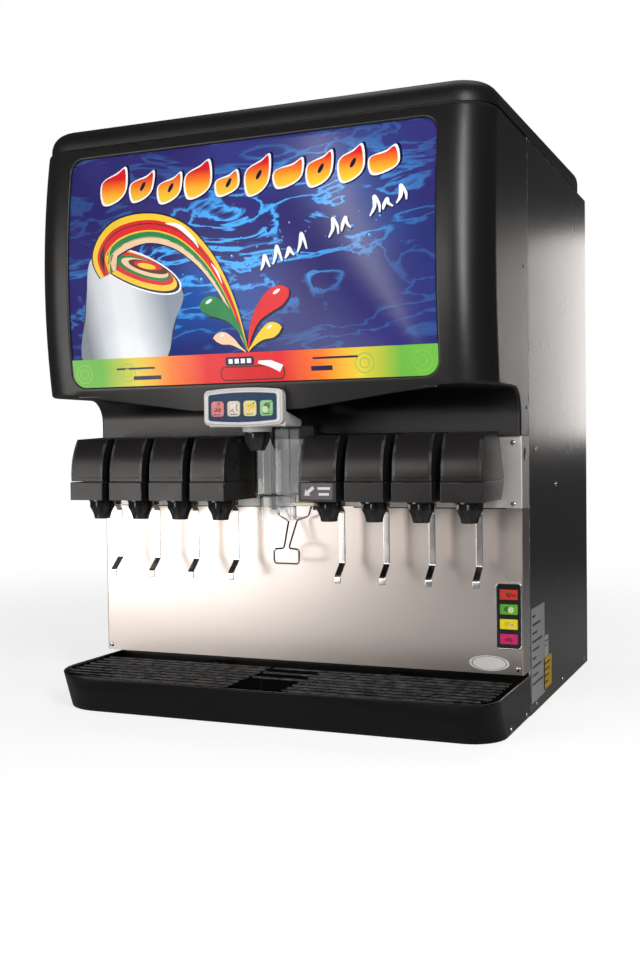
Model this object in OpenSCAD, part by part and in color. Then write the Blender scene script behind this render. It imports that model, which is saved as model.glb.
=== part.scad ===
// Countertop ice and beverage dispenser with eight push-lever valves.
// X runs along the front, Y from the front to the back, Z up.
// The origin is the middle of the footprint at the underside.

/* [Cabinet] */
// Width over the side panels
cab_w = 762; // [740:2:790]
// Depth of a side panel, front edge to rear edge
cab_d = 523; // [500:1:560]
// Height of the side panels
cab_h = 921; // [910:1:940]
// Thickness of the cabinet sheet metal
sheet = 1.5; // [1:0.1:2]

/* [Lighted hood] */
// How far the hood's foremost point stands ahead of the side panels
hood_reach = 258.6; // [250:0.1:268]
// Radius of the hood's bulged front, seen from the side
hood_r = 1100; // [1000:10:1300]
// Height of the hood's foremost point
hood_mid_z = 708; // [690:1:730]
// Radius of the hood's upright front corners
hood_corner = 60; // [50:1:66]
// Wall thickness of the moulded hood
hood_wall = 4; // [3:0.5:5]
// Height of the hood's underside
hood_under_z = 521; // [516:1:526]
// Height of the lowest edge of the chin at the middle of the front
chin_z = 492; // [488:1:500]
// Width of the graphic window
window_w = 614; // [580:2:630]
// Lower edge of the graphic window
window_z0 = 535; // [532:1:545]
// Upper edge of the graphic window
window_z1 = 901; // [880:1:905]

/* [Lid] */
// Depth of the lid, front to rear
lid_d = 702; // [690:1:710]
// Height of the highest point of the lid
lid_top = 966; // [960:1:972]
// Radius of the lid's long top edges
lid_edge = 30; // [24:1:34]

/* [Valves] */
// Distance from the middle to the first valve on each side
valve_first = 95.7; // [94:0.1:98]
// Distance between neighbouring valves
valve_pitch = 75.8; // [74:0.1:77]
// Width of a valve cover
cover_w = 63; // [58:0.5:66]
// Height of the underside of the valve covers
cover_z = 350.5; // [349:0.5:352]
// Width of a lever strip
lever_w = 11; // [9:0.5:11.5]
// Thickness of a lever strip
lever_t = 2.5; // [2:0.1:3]

/* [Drip tray] */
// Height of the tray rim
tray_h = 65; // [62:1:67]
// How far the middle of the tray rim stands ahead of the side panels
tray_reach = 252; // [246:1:257]
// How far the tray foot stands ahead of the side panels
tray_foot = 209; // [205:1:215]
// Wall thickness of the tray
tray_wall = 4; // [3:0.5:5]
// Distance between rack bars
bar_pitch = 20.5; // [20:0.1:20.8]

/* [Ice path] */
// Radius of the agitator shaft
shaft_r = 9.95; // [9:0.05:9.95]
// Reach of the agitator arms
arm_reach = 128; // [100:1:132]
// Radius of the ice lever wire
wire_r = 1.6; // [1.4:0.05:1.6]

/* [Hidden] */
$fn = 64;
valves_per_side = 4;
valve_count = 2 * valves_per_side;
// Valve centres from left to right
valve_x = [for (i = [0:valve_count - 1])
    i < valves_per_side
        ? -valve_first - (valves_per_side - 1 - i) * valve_pitch
        : valve_first + (i - valves_per_side) * valve_pitch];

hw = cab_w / 2;
eps = 0.5;                       // how far a cut runs past a face
in_x = hw - sheet;               // inside face of a side panel
flange = 20;                     // width of the folded panel edges
cab_y = -(cab_d - hood_reach) / 2;  // side panels' front edge in the part's own frame

// Splash and valve plate
plate_y = -45.4;                 // their front face
splash_z0 = 73.7;
plate_z0 = 335.7;
plate_z1 = 448.5;
screw_r = 2;
screw_hole_r = 2.1;
port_r = 5;
port_hole_r = 6;
splash_screw = [hw - 8.4, 83];   // x and z
plate_screws = [[hw - 15, 342], [hw - 15, 438]];
base_screw_y = [46, 264, 481];
base_screw_z = 12;
side_rivets = [[49, 427], [213, 365]];  // y and z
tray_screws = [-132, -29];
tray_screw_z = 9;

// Hood
hood_axis_y = hood_r - hood_reach;
neck_y = 55;                     // how far the hood's neck stands ahead of the side panels
cove_r = 38;                     // hollow curve between the underside and the neck
chin_flat = 184;
chin_w = 618;
hood_top = cab_h;
duct_w = 116;

// Bin
bin_x = 336;
bin_y0 = 30;
bin_y1 = 492;
bin_z0 = 475;
bin_top = 917;
bin_wall = 4;
outlet_w = 80;
outlet_z0 = 512;
outlet_z1 = 590;
shaft_z = 680;
foam_x = 372;
foam_y0 = 6;
foam_y1 = 516;
foam_z0 = 446;

// Valves
nozzle_y = -145;
nozzle_top = 350;
nozzle_h = 32.5;
cover_front = 193.5;
cover_bow_y = -87.2;             // centre of the curved top of a cover
cover_bow_z = 391;
cover_bow_r = 104;
cover_skin = 2;
pivot_y = -108;
pivot_z = 346;
pin_r = 2;
bore_r = 2.05;

// Ice chute and its lever
chute_y = -128;
chute_z0 = 317;
chute_z1 = 470;
ice_pivot = [-63, 338];          // y and z

// Flavour head
flavor_x = 1;
flavor_front = 257;
flavor_w = 132;
flavor_z = 496;
flavor_pitch = 27.4;
flavor_btn = [21.4, 23.4];       // width and height

// Selector on the splash panel
select_x = 358.5;
select_z = 166.3;
select_w = 42;
select_h = 105;
select_pitch = 23.3;
select_btn = [28.4, 16];
select_top_z = 200.2;
press_gap = 0.3;                 // play round each button

// Tray
rack_z = 62;
rack_y0 = -62;
bars = 9;
bar_r = 2;
rack_x = [48, 366];              // inner and outer end of each rack
tray_floor = 10;

// Colours
c_steel = "#b9b4b1";
c_black = "#26262a";
c_dark = "#3a3739";
c_clear = "#c9d6dc";

// ---------- shared shapes ----------

// Moves a part from the cabinet's frame, y = 0 at the side panels' front edge, to the origin
module at_cabinet() { translate([0, cab_y, 0]) children(); }

// Box from its two corners
module block(a, b) { translate(a) cube(b - a); }

module both_sides() {
    children();
    mirror([1, 0, 0]) children();
}

// Rounded rectangle about the origin
module rrect(w, h, r) {
    square([w - 2 * r, h], center = true);
    square([w, h - 2 * r], center = true);
    for (x = [-1, 1], y = [-1, 1])
        translate([x * (w / 2 - r), y * (h / 2 - r)]) circle(r, $fn = 32);
}

// A (y, z) outline stretched along X about the middle
module along_x(len) {
    rotate([90, 0, 90]) translate([0, 0, -len / 2]) linear_extrude(len) children();
}

// An (x, z) outline stretched along Y
module along_y(y0, y1) {
    translate([0, y1, 0]) rotate([90, 0, 0]) linear_extrude(y1 - y0) children();
}

// Cylinder lying along X or along Y
module rod_x(x0, x1, y, z, r) {
    translate([x0, y, z]) rotate([0, 90, 0]) cylinder(r = r, h = x1 - x0);
}
module rod_y(y0, y1, x, z, r) {
    translate([x, y0, z]) rotate([-90, 0, 0]) cylinder(r = r, h = y1 - y0);
}

// Unit direction from p to q
function unit(p, q) = (q - p) / norm(q - p);
// Side offset at point i of a bent strip, mitred at the bends
function strip_side(p, i, t) =
    let (n = len(p) - 1,
         a = i > 0 ? unit(p[i - 1], p[i]) : unit(p[0], p[1]),
         b = i < n ? unit(p[i], p[i + 1]) : unit(p[n - 1], p[n]),
         m = a + b)
    p[i] + t / 2 * [-m[1], m[0]] / (m * a);
// Outline of a strip of thickness t that follows the points p
function strip(p, t) = concat(
    [for (i = [0:len(p) - 1]) strip_side(p, i, t)],
    [for (i = [len(p) - 1:-1:0]) strip_side(p, i, -t)]);

// Direction of travel at point i of a path
function heading(p, i) =
    let (n = len(p) - 1,
         a = i > 0 ? unit(p[i - 1], p[i]) : unit(p[0], p[1]),
         b = i < n ? unit(p[i], p[i + 1]) : a)
    unit([0, 0, 0], a + b);
// Round wire swept along a path that never runs straight along Y
module wire(p, r, sides = 12) {
    n = len(p);
    rings = [for (i = [0:n - 1])
        let (t = heading(p, i), u = unit([0, 0, 0], cross(t, [0, 1, 0])), v = cross(t, u))
        for (k = [0:sides - 1]) p[i] + r * (u * cos(360 / sides * k) + v * sin(360 / sides * k))];
    walls = [for (i = [0:n - 2], k = [0:sides - 1])
        [i * sides + k, (i + 1) * sides + k, (i + 1) * sides + (k + 1) % sides, i * sides + (k + 1) % sides]];
    polyhedron(rings, concat([[for (k = [0:sides - 1]) k]], walls,
                             [[for (k = [sides - 1:-1:0]) (n - 1) * sides + k]]));
}

// ---------- cabinet ----------

module side_panel() {
    color(c_dark) difference() {
        block([hw - flange, 0, 0], [hw, cab_d, cab_h]);
        block([hw - flange - eps, sheet, -eps], [hw - sheet, cab_d - sheet, cab_h - sheet]);
        for (y = base_screw_y) rod_x(hw - 5, hw + eps, y, base_screw_z, screw_hole_r);
        for (p = side_rivets) rod_x(hw - 5, hw + eps, p[0], p[1], screw_hole_r);
    }
}
module side_panel_right() { at_cabinet() side_panel(); }
module side_panel_left() { at_cabinet() mirror([1, 0, 0]) side_panel(); }

vent_rows = 12;
module rear_panel() {
    at_cabinet() color(c_dark) difference() {
        union() {
            block([-in_x, cab_d - 2 * sheet, 2], [in_x, cab_d - sheet, cab_h - sheet]);
            block([-in_x + flange - 1, bin_y1 - 20, cab_h - sheet], [in_x - flange + 1, cab_d - sheet, cab_h]);
        }
        for (i = [0:vent_rows - 1])
            block([-300, cab_d - 5, 120 + 20 * i], [-120, cab_d, 126 + 20 * i]);
        rod_y(cab_d - 5, cab_d, 250, 70, 11);
    }
}

leg_x = 320;
leg_y = [46, 476];
module base_frame() {
    rail_z = foam_z0 - 26;
    back = cab_d - 2 * sheet - 0.2;
    at_cabinet() color("#8f8f92") {
        difference() {
            union() {
                difference() {
                    block([-in_x + 0.2, 1.7, 0], [in_x - 0.2, back, 45]);
                    block([-in_x + 2.2, -eps, 2], [in_x - 2.2, back - 2, 46]);
                }
                both_sides() for (y = [4, back - 28])
                    block([348, y, 1], [373, y + 25, foam_z0]);
                both_sides() block([348, 20, rail_z], [373, back - 10, foam_z0]);
                for (y = [4, back - 28]) block([-360, y, rail_z], [360, y + 25, foam_z0]);
            }
            both_sides() for (y = leg_y) translate([leg_x, y, -eps]) cylinder(r = 5.3, h = 5);
            both_sides() for (y = base_screw_y) rod_x(in_x - 5, in_x + eps, y, base_screw_z, screw_hole_r);
            block([-200, 405, -eps], [120, 441, 5]);
        }
        // angle brackets that carry the splash panel and the valve plate
        both_sides() difference() {
            union() {
                block([354, plate_y + sheet, 76], [in_x, plate_y + sheet + 2, plate_z1 - 3]);
                block([in_x - 2, plate_y + sheet, 76], [in_x, -0.2, plate_z1 - 3]);
                block([360, -2.2, 76], [in_x, -0.2, plate_z1 - 3]);
            }
            rod_y(-50, -30, splash_screw[0], splash_screw[1], screw_hole_r);
            for (p = plate_screws) rod_y(-50, -30, p[0], p[1], screw_hole_r);
            rod_x(hw - 10, hw, -27, 420, 11);
            // room for the selector
            translate([select_x, 0, select_z])
                block([-select_w / 2, -50, -select_h / 2], [select_w / 2 - 2.2, -40, select_h / 2]);
        }
    }
}

// A front plate with both ends folded back to the side panels
module front_pan(z0, z1) {
    difference() {
        block([-hw, plate_y, z0], [hw, -0.2, z1]);
        block([-in_x, plate_y + sheet, z0 - eps], [in_x, eps, z1 + eps]);
    }
}

module splash_panel() {
    at_cabinet() color(c_steel) difference() {
        front_pan(splash_z0, plate_z0 - 0.4);
        both_sides() rod_y(-50, -30, splash_screw[0], splash_screw[1], screw_hole_r);
        translate([select_x, 0, select_z])
            block([-select_w / 2 + 3, -50, -select_h / 2 + 3], [select_w / 2 - 3, -40, select_h / 2 - 3]);
    }
}

module valve_plate() {
    at_cabinet() color(c_steel) difference() {
        front_pan(plate_z0, plate_z1);
        both_sides() {
            for (p = plate_screws) rod_y(-50, -30, p[0], p[1], screw_hole_r);
            rod_x(hw - 10, hw + eps, -27, 420, 11);
        }
        for (x = valve_x, s = [-1, 1]) rod_y(-50, -40, x + 12 * s, 400, port_hole_r);
    }
}

// ---------- hood ----------

// The hood's bulk with every wall moved in by t
module hood_bulk(t) {
    intersection() {
        rod_x(-hw - eps, hw + eps, hood_axis_y, hood_mid_z, hood_r - t, $fn = 360);
        // plan outline with round front corners
        translate([0, 0, 400]) linear_extrude(600) {
            translate([-hw + t, -hood_reach + hood_corner]) square([cab_w - 2 * t, 400]);
            translate([-hw + hood_corner, -hood_reach + t]) square([cab_w - 2 * hood_corner, 400]);
            for (s = [-1, 1]) translate([s * (hw - hood_corner), -hood_reach + hood_corner])
                circle(hood_corner - t, $fn = 96);
        }
        union() {
            block([-hw, -hood_reach, hood_under_z + t], [hw, 0, hood_top - t]);
            block([-hw, -neck_y + t, plate_z1 + 0.5 - (t > 0 ? 1 : 0)], [hw, 0, hood_top - t]);
            cove_y = -neck_y - cove_r;
            difference() {
                block([-hw, cove_y, hood_under_z - cove_r], [hw, 0, hood_under_z + t + 1]);
                rod_x(-hw - eps, hw + eps, cove_y, hood_under_z - cove_r, cove_r + t, $fn = 96);
            }
        }
    }
}

// The thin front skin that drops below the underside, deepest in the middle
module hood_chin() {
    intersection() {
        difference() {
            rod_x(-hw, hw, hood_axis_y, hood_mid_z, hood_r, $fn = 360);
            rod_x(-hw - eps, hw + eps, hood_axis_y, hood_mid_z, hood_r - hood_wall, $fn = 360);
        }
        along_y(-hood_reach, -220)
            polygon([[-chin_w / 2, hood_under_z + 2], [-chin_flat / 2, chin_z],
                     [chin_flat / 2, chin_z], [chin_w / 2, hood_under_z + 2]]);
    }
}

module hood() {
    at_cabinet() color(c_black) difference() {
        union() {
            difference() {
                hood_bulk(0);
                difference() {
                    hood_bulk(hood_wall);
                    // the rear stays open, and the end walls keep a folded edge
                    both_sides() block([hw - flange, -hood_wall, 400], [hw, eps, cab_h]);
                }
                block([-bin_x, -hood_wall, hood_under_z], [bin_x, eps, 900]);
            }
            hood_chin();
        }
        along_y(-hood_reach - 5, -215) translate([0, (window_z0 + window_z1) / 2])
            rrect(window_w, window_z1 - window_z0, 22);
        block([-duct_w / 2 - 3, -170, plate_z1 - 5], [duct_w / 2 + 3, eps, hood_under_z + 90]);
        // the flavour head reaches through the chin
        along_y(-hood_reach - 5, -160) translate([flavor_x, flavor_z]) flavor_face(flavor_w + 0.6, 53.6);
    }
}

// A curved sheet that lies behind the hood's front skin
module front_sheet(w, z0, z1, gap, t) {
    intersection() {
        difference() {
            rod_x(-w / 2, w / 2, hood_axis_y, hood_mid_z, hood_r - gap, $fn = 360);
            rod_x(-w / 2 - eps, w / 2 + eps, hood_axis_y, hood_mid_z, hood_r - gap - t, $fn = 360);
        }
        block([-hw, -hood_reach, z0], [hw, -200, z1]);
    }
}

module graphic_panel() {
    at_cabinet() color("#2346b4")
        front_sheet(window_w + 16, window_z0 - 6, window_z1 + 6, hood_wall + 0.2, 2.5);
}

module light_reflector() {
    at_cabinet() color("white") difference() {
        block([-320, -216, 540], [320, -188, 895]);
        block([-318.8, -217, 541.2], [318.8, -189.2, 893.8]);
    }
}

lamp_z = [640, 790];
module lamp_tubes() {
    at_cabinet() color("#f4f1e4") for (z = lamp_z) {
        rod_x(-295, 295, -212, z, 13);
        for (s = [-1, 1]) translate([s * 302, -212, z]) cube([14, 30, 34], center = true);
    }
}

// ---------- lid ----------

lid_front_y = -232;
lid_z0 = cab_h + 1;
lid_fall = 8;                    // how much lower the lid is at its front edge

module lid_bulk(t) {
    rear_y = lid_front_y + lid_d;
    front_z = lid_top - lid_fall;
    intersection() {
        translate([0, 0, lid_z0 - (t > 0 ? 1 : 0)]) linear_extrude(100) {
            translate([-hw + t, lid_front_y + hood_corner]) square([cab_w - 2 * t, lid_d - hood_corner - t]);
            translate([-hw + hood_corner, lid_front_y + t]) square([cab_w - 2 * hood_corner, lid_d - 2 * t]);
            for (s = [-1, 1]) translate([s * (hw - hood_corner), lid_front_y + hood_corner])
                circle(hood_corner - t, $fn = 96);
        }
        // side view: rounded front and rear edges, top falling towards the front
        along_x(cab_w + 2) {
            r = lid_edge - t;
            polygon([[lid_front_y + t, 900], [lid_front_y + t, front_z - lid_edge],
                     [lid_front_y + lid_edge, front_z - t], [rear_y - 16, lid_top - t],
                     [rear_y - t, lid_top - 16], [rear_y - t, 900]]);
            translate([lid_front_y + lid_edge, front_z - lid_edge]) circle(r);
        }
        // front view: rounded long edges
        along_y(lid_front_y - 1, rear_y + 1) {
            translate([-hw + lid_edge, 900]) square([cab_w - 2 * lid_edge, lid_top - t - 900]);
            translate([-hw + t, 900]) square([cab_w - 2 * t, lid_top - lid_edge - 900]);
            for (s = [-1, 1]) translate([s * (hw - lid_edge), lid_top - lid_edge]) circle(lid_edge - t);
        }
    }
}

module hopper_lid() {
    mouth = bin_x - bin_wall;
    at_cabinet() color(c_black) {
        difference() {
            lid_bulk(0);
            lid_bulk(3.5);
        }
        // skirt that drops into the mouth of the bin
        difference() {
            block([-mouth + 3, bin_y0 + 7, bin_top - 12], [mouth - 3, lid_front_y + lid_d - 20, lid_top - lid_fall]);
            block([-mouth + 6, bin_y0 + 10, bin_top - 13], [mouth - 6, lid_front_y + lid_d - 23, lid_top]);
        }
    }
}

// ---------- ice store ----------

module ice_bin() {
    at_cabinet() color("#dadbd6") difference() {
        union() {
            block([-bin_x, bin_y0, bin_z0], [bin_x, bin_y1, bin_top + 2]);
            block([-foam_x, foam_y0, bin_top], [foam_x, foam_y1 - 1, bin_top + 2]);
        }
        block([-bin_x + bin_wall, bin_y0 + bin_wall, bin_z0 + bin_wall],
              [bin_x - bin_wall, bin_y1 - bin_wall, bin_top + 3]);
        block([-outlet_w / 2, bin_y0 - 1, outlet_z0], [outlet_w / 2, bin_y0 + bin_wall + 1, outlet_z1]);
        rod_y(bin_y0 - 1, bin_y0 + bin_wall + 1, 0, shaft_z, 16);
        rod_y(bin_y1 - bin_wall - 1, bin_y1 + 1, 0, shaft_z, 16);
    }
}

module bin_insulation() {
    at_cabinet() color("#e8dcb8") difference() {
        block([-foam_x, foam_y0, foam_z0], [foam_x, foam_y1, bin_top]);
        block([-bin_x, bin_y0, bin_z0], [bin_x, bin_y1, bin_top + 1]);
        block([-outlet_w / 2, foam_y0 - 1, outlet_z0], [outlet_w / 2, bin_y0 + 1, outlet_z1]);
        rod_y(foam_y0 - 1, bin_y0 + 1, 0, shaft_z, 18);
        rod_y(bin_y1 - 1, foam_y1 + 1, 0, shaft_z, 22);
    }
}

module cold_plate() {
    z0 = bin_z0 + bin_wall;
    at_cabinet() color("#b7babd") {
        block([-300, 56, z0], [300, 466, z0 + 24]);
        for (i = [-7:7]) block([i * 38 - 3, 64, z0 + 23], [i * 38 + 3, 458, z0 + 30]);
    }
}

module agitator() {
    arm_y = [110, 261, 412];
    at_cabinet() color("#cfd2d4") {
        rod_y(-70, bin_y1 + 6, 0, shaft_z, shaft_r);
        for (i = [0:len(arm_y) - 1])
            translate([0, arm_y[i], shaft_z]) rotate([0, 60 * i, 0]) {
                rod_y(-16, 16, 0, 0, 20);
                translate([0, 0, -arm_reach]) cylinder(r = 6, h = 2 * arm_reach);
                for (s = [-1, 1]) rod_y(-34, 34, 0, s * (arm_reach - 4), 6);
            }
    }
}

module agitator_bushings() {
    at_cabinet() color("#ece9de") {
        difference() {
            union() {
                rod_y(foam_y0 + 1, bin_y0 + bin_wall, 0, shaft_z, 15.9);
                rod_y(bin_y0 + bin_wall, bin_y0 + bin_wall + 5, 0, shaft_z, 23);
            }
            rod_y(0, 60, 0, shaft_z, shaft_r + 0.05);
        }
        difference() {
            union() {
                rod_y(bin_y1 - bin_wall, bin_y1 + 12, 0, shaft_z, 15.9);
                rod_y(bin_y1 - bin_wall - 5, bin_y1 - bin_wall, 0, shaft_z, 23);
            }
            rod_y(bin_y1 - 20, bin_y1 + 8, 0, shaft_z, shaft_r + 0.05);
        }
    }
}

module gearmotor() {
    at_cabinet() color("#4b4f55") difference() {
        union() {
            block([-55, -75, shaft_z - 50], [55, -12, shaft_z + 110]);
            rod_y(-165, -74, 0, shaft_z + 60, 42);
            rod_y(-168, -160, 0, shaft_z + 60, 30);
            rod_y(-12, 1, 0, shaft_z, 30);
        }
        rod_y(-72, 6, 0, shaft_z, shaft_r + 0.05);
    }
}

// Sloping passage from the bin outlet to the top of the chute
module ice_duct() {
    w = duct_w;
    at_cabinet() color(c_black) {
        difference() {
            union() {
                along_x(w) polygon([[1.5, outlet_z0 - 8], [1.5, outlet_z1 + 8], [-100, 566], [-165, 532],
                                    [-165, chute_z1], [-84, chute_z1]]);
                block([-w / 2, -1, outlet_z0 - 10], [w / 2, 1.5, outlet_z1 + 20]);
            }
            along_x(w - 10) polygon([[2.5, outlet_z0], [2.5, outlet_z1], [-99, 560], [-160, 528],
                                     [-160, chute_z1 - 1], [-90, chute_z1 - 1]]);
        }
        // rails for the gate
        for (s = [-1, 1]) {
            block([s * 52 - 4, 1.5, outlet_z0 - 10], [s * 52 + 4, 5.8, outlet_z1 + 56]);
        }
        // straps that carry the ice lever
        for (s = [-1, 1]) difference() {
            block([s * 38 - 2, -69, 331], [s * 38 + 2, -57, 504]);
            rod_x(s * 38 - 3, s * 38 + 3, ice_pivot[0], ice_pivot[1], wire_r + 0.05);
        }
    }
}

module ice_chute() {
    upper = [62, 66];
    lower = [54, 50];
    wall = 2;
    at_cabinet() color(c_clear) translate([0, chute_y, 0]) difference() {
        union() {
            translate([0, 3, 356]) linear_extrude(chute_z1 - 356.3) rrect(upper[0], upper[1], 12);
            translate([0, 0, chute_z0]) linear_extrude(41) rrect(lower[0], lower[1], 16);
            for (s = [-1, 1]) block([s * 12 - 1, -31, 360], [s * 12 + 1, -29.5, 440]);
        }
        translate([0, 3, 358]) linear_extrude(200) rrect(upper[0] - 2 * wall, upper[1] - 2 * wall, 10);
        translate([0, 0, chute_z0 - 1]) linear_extrude(60) rrect(lower[0] - 2 * wall, lower[1] - 2 * wall, 14);
    }
}

module ice_gate() {
    at_cabinet() color("#dfe3e6") {
        block([-47.6, 2, outlet_z0 - 8], [47.6, 4.5, outlet_z1 + 8]);
        block([-10, 1.6, outlet_z1 + 8], [10, 4.5, outlet_z1 + 20]);
    }
}

// One side of the bent wire, from its pivot down to the bottom of the cup loop
function ice_wire_half(s) = [
    [s * 34, ice_pivot[0], ice_pivot[1]],
    [s * 31.5, ice_pivot[0], ice_pivot[1] - 1],
    [s * 30, ice_pivot[0] - 1, 334],
    [s * 28, ice_pivot[0] - 3, 324],
    [s * 26, ice_pivot[0] - 4, 320],
    [s * 10, ice_pivot[0] - 7, 315],
    [s * 7.5, ice_pivot[0] - 8, 312],
    [s * 4.5, -96, 272],
    [s * 6, -97, 269],
    [s * 18, -97, 268],
    [s * 21, -97, 266.8],
    [s * 22.4, -97, 263.6],
    [s * 22.4, -97, 248.4],
    [s * 21, -97, 245.2],
    [s * 18, -97, 244]];

module ice_lever() {
    right = ice_wire_half(1);
    at_cabinet() color("#d8d8da") {
        wire(concat(ice_wire_half(-1), [for (i = [len(right) - 1:-1:0]) right[i]]), wire_r);
        both_sides() rod_x(33, 41, ice_pivot[0], ice_pivot[1], wire_r);
    }
}

// ---------- valves ----------

// Side outline of a valve cover with the walls moved in by t
function cover_outline(t) = concat(
    [[-cover_front + t, cover_z - (t > 0 ? 1 : 0)], [-cover_front + t, 381],
     [-cover_bow_r + cover_bow_y + t, 382.5]],
    [for (a = [180:-6:144])
        [cover_bow_y, cover_bow_z] + (cover_bow_r - t) * [cos(a), sin(a)]],
    [[-94, 456 - t], [-79 - t / 2, 445 - t], [-49.5 - (t > 0 ? -3 : 0), 359], [-75, cover_z - (t > 0 ? 1 : 0)]]);

module valve_cover(x) {
    at_cabinet() translate([x, 0, 0]) color(c_dark) difference() {
        along_x(cover_w) polygon(cover_outline(0));
        along_x(cover_w - 2 * cover_skin) polygon(cover_outline(cover_skin));
        block([-cover_w, -200, 380.6], [cover_w, -cover_front + 1, 381.8]);
    }
}

module valve_body(x) {
    translate([x, 0, 0]) {
        difference() {
            union() {
                block([-24, -168, 356], [24, plate_y, 414]);
                block([-22, -150, 413], [22, -92, 428]);
                translate([0, nozzle_y, nozzle_top]) cylinder(r = 19, h = 8);
                translate([0, -110, 427]) cylinder(r = 17, h = 20);
                for (s = [-1, 1]) {
                    rod_y(plate_y - 1, -36, 12 * s, 400, port_r);
                    block([s * 8.5 - 2, pivot_y - 6, pivot_z - 6], [s * 8.5 + 2, pivot_y + 6, 357]);
                }
            }
            rod_x(-12, 12, pivot_y, pivot_z, bore_r);
        }
    }
}

water_pin = [84, 347];           // x and z of the water lever's pivot
module valve_bodies() {
    at_cabinet() color("#55565a") {
        for (x = valve_x) valve_body(x);
        // ear for the water lever
        difference() {
            block([78, -171.5, 343], [90, -167.5, 375]);
            rod_y(-173, -166, water_pin[0], water_pin[1], bore_r);
        }
    }
}

module valve_nozzle() {
    flutes = 8;
    difference() {
        union() {
            rotate_extrude() polygon([[0, 0], [13, 0], [16, 12], [20.5, 20], [20.5, 29], [22, 29.5],
                                      [22, nozzle_h], [0, nozzle_h]]);
            for (i = [0:flutes - 1]) rotate([0, 0, 360 / flutes * i])
                block([12, -2, 8], [21.4, 2, nozzle_h - 2]);
        }
        translate([0, 0, -1]) cylinder(r = 10, h = nozzle_h - 3);
    }
}

module valve_nozzles() {
    at_cabinet() color(c_black) for (x = valve_x)
        translate([x, nozzle_y, nozzle_top - nozzle_h]) valve_nozzle();
}

lever_path = [[pivot_y, pivot_z], [-90, 331], [-90, 246], [-112, 227], [-112, 216]];
module valve_lever(x) {
    at_cabinet() translate([x, 0, 0]) color("#d5d3d1") {
        along_x(lever_w) polygon(strip(lever_path, lever_t));
        rod_x(-10.4, 10.4, pivot_y, pivot_z, pin_r);
        rod_x(-lever_w / 2, lever_w / 2, pivot_y, pivot_z, 3.6);
    }
}

module water_lever() {
    at_cabinet() color("#efe6c4") {
        difference() {
            translate([0, 0, 343.8]) linear_extrude(5.4) translate([70, -181]) rrect(38, 17, 4);
            rod_y(-200, -160, water_pin[0], water_pin[1], 1);
        }
        rod_y(-174, -167.8, water_pin[0], water_pin[1], pin_r);
    }
}

// ---------- flavour head ----------

// Face outline with slightly arched long edges
module flavor_face(w, h) {
    arch_r = 560;
    intersection() {
        rrect(w, h + 8, 8);
        translate([0, h / 2 + 3 - arch_r]) circle(arch_r, $fn = 360);
        translate([0, -h / 2 - 3 + arch_r]) circle(arch_r, $fn = 360);
    }
}

module flavor_housing() {
    y0 = -flavor_front;
    at_cabinet() color("#cfcdcb") translate([flavor_x, 0, 0]) difference() {
        union() {
            along_y(y0, y0 + 16) translate([0, flavor_z]) flavor_face(flavor_w, 53);
            // tapered body behind the face, kept ahead of the duct
            intersection() {
                along_y(y0 + 15, -167) translate([0, flavor_z]) flavor_face(flavor_w, 50);
                translate([0, 0, flavor_z - 40]) linear_extrude(80)
                    polygon([[-66, y0], [66, y0], [66, y0 + 24], [44, -167], [-44, -167], [-66, y0 + 24]]);
                along_x(200) polygon([[y0, 440], [y0, 540], [-240, 524], [-236, 490], [-167, 490], [-167, 464], [-230, 466]]);
            }
            translate([0, -204, 459]) cylinder(r = 23, h = 12);
        }
        along_y(y0 - 1, y0 + 2) translate([0, flavor_z]) flavor_face(flavor_w - 17, 39);
        for (i = [0:3]) along_y(y0, y0 + 9)
            translate([(i - 1.5) * flavor_pitch, flavor_z - 2])
                rrect(flavor_btn[0] + 2 * press_gap, flavor_btn[1] + 2 * press_gap, 5);
    }
}

module flavor_panel() {
    y0 = -flavor_front;
    at_cabinet() color("#16426b") translate([flavor_x, 0, 0]) difference() {
        along_y(y0 + 0.8, y0 + 2) translate([0, flavor_z]) flavor_face(flavor_w - 17.4, 38.6);
        for (i = [0:3]) along_y(y0 - 1, y0 + 9)
            translate([(i - 1.5) * flavor_pitch, flavor_z - 2])
                rrect(flavor_btn[0] + 2 * press_gap, flavor_btn[1] + 2 * press_gap, 5);
    }
}

module flavor_button(i) {
    y0 = -flavor_front;
    at_cabinet() color(["#ef7d7d", "#f3dccb", "#f6efa0", "#93d582"][i])
        translate([flavor_x + (i - 1.5) * flavor_pitch, 0, flavor_z - 2])
            along_y(y0 - 0.6, y0 + 6.5) rrect(flavor_btn[0], flavor_btn[1], 4.6);
}

module flavor_nozzle() {
    at_cabinet() color(c_black) translate([flavor_x, -204, 459 - 29]) difference() {
        union() {
            rotate_extrude() polygon([[0, 0], [11.5, 0], [15, 7], [19, 13], [21, 20], [21, 29], [0, 29]]);
            for (i = [0:7]) rotate([0, 0, 45 * i]) block([11, -2, 4], [21.4, 2, 26]);
        }
        translate([0, 0, -1]) cylinder(r = 8, h = 26);
    }
}

// ---------- selector ----------

function select_button_z(i) = select_top_z - i * select_pitch;

module select_panel() {
    at_cabinet() color("#18181b") difference() {
        union() {
            along_y(plate_y - 3.4, plate_y) translate([select_x, select_z]) rrect(select_w, select_h, 7);
            along_y(plate_y - 1, plate_y + 9) translate([select_x, select_z])
                square([select_w - 7, select_h - 7], center = true);
        }
        for (i = [0:3]) along_y(plate_y - 5, plate_y + 5.5) translate([select_x, select_button_z(i)])
            rrect(select_btn[0] + 2 * press_gap, select_btn[1] + 2 * press_gap, 1.5);
    }
}

module select_button(i) {
    at_cabinet() color(["#f2503a", "#6cc331", "#f6ee1b", "#ee2a8b"][i])
        along_y(plate_y - 4.2, plate_y + 3.8) translate([select_x, select_button_z(i)])
            rrect(select_btn[0], select_btn[1], 1.2);
}

// ---------- drip tray and racks ----------

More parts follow.
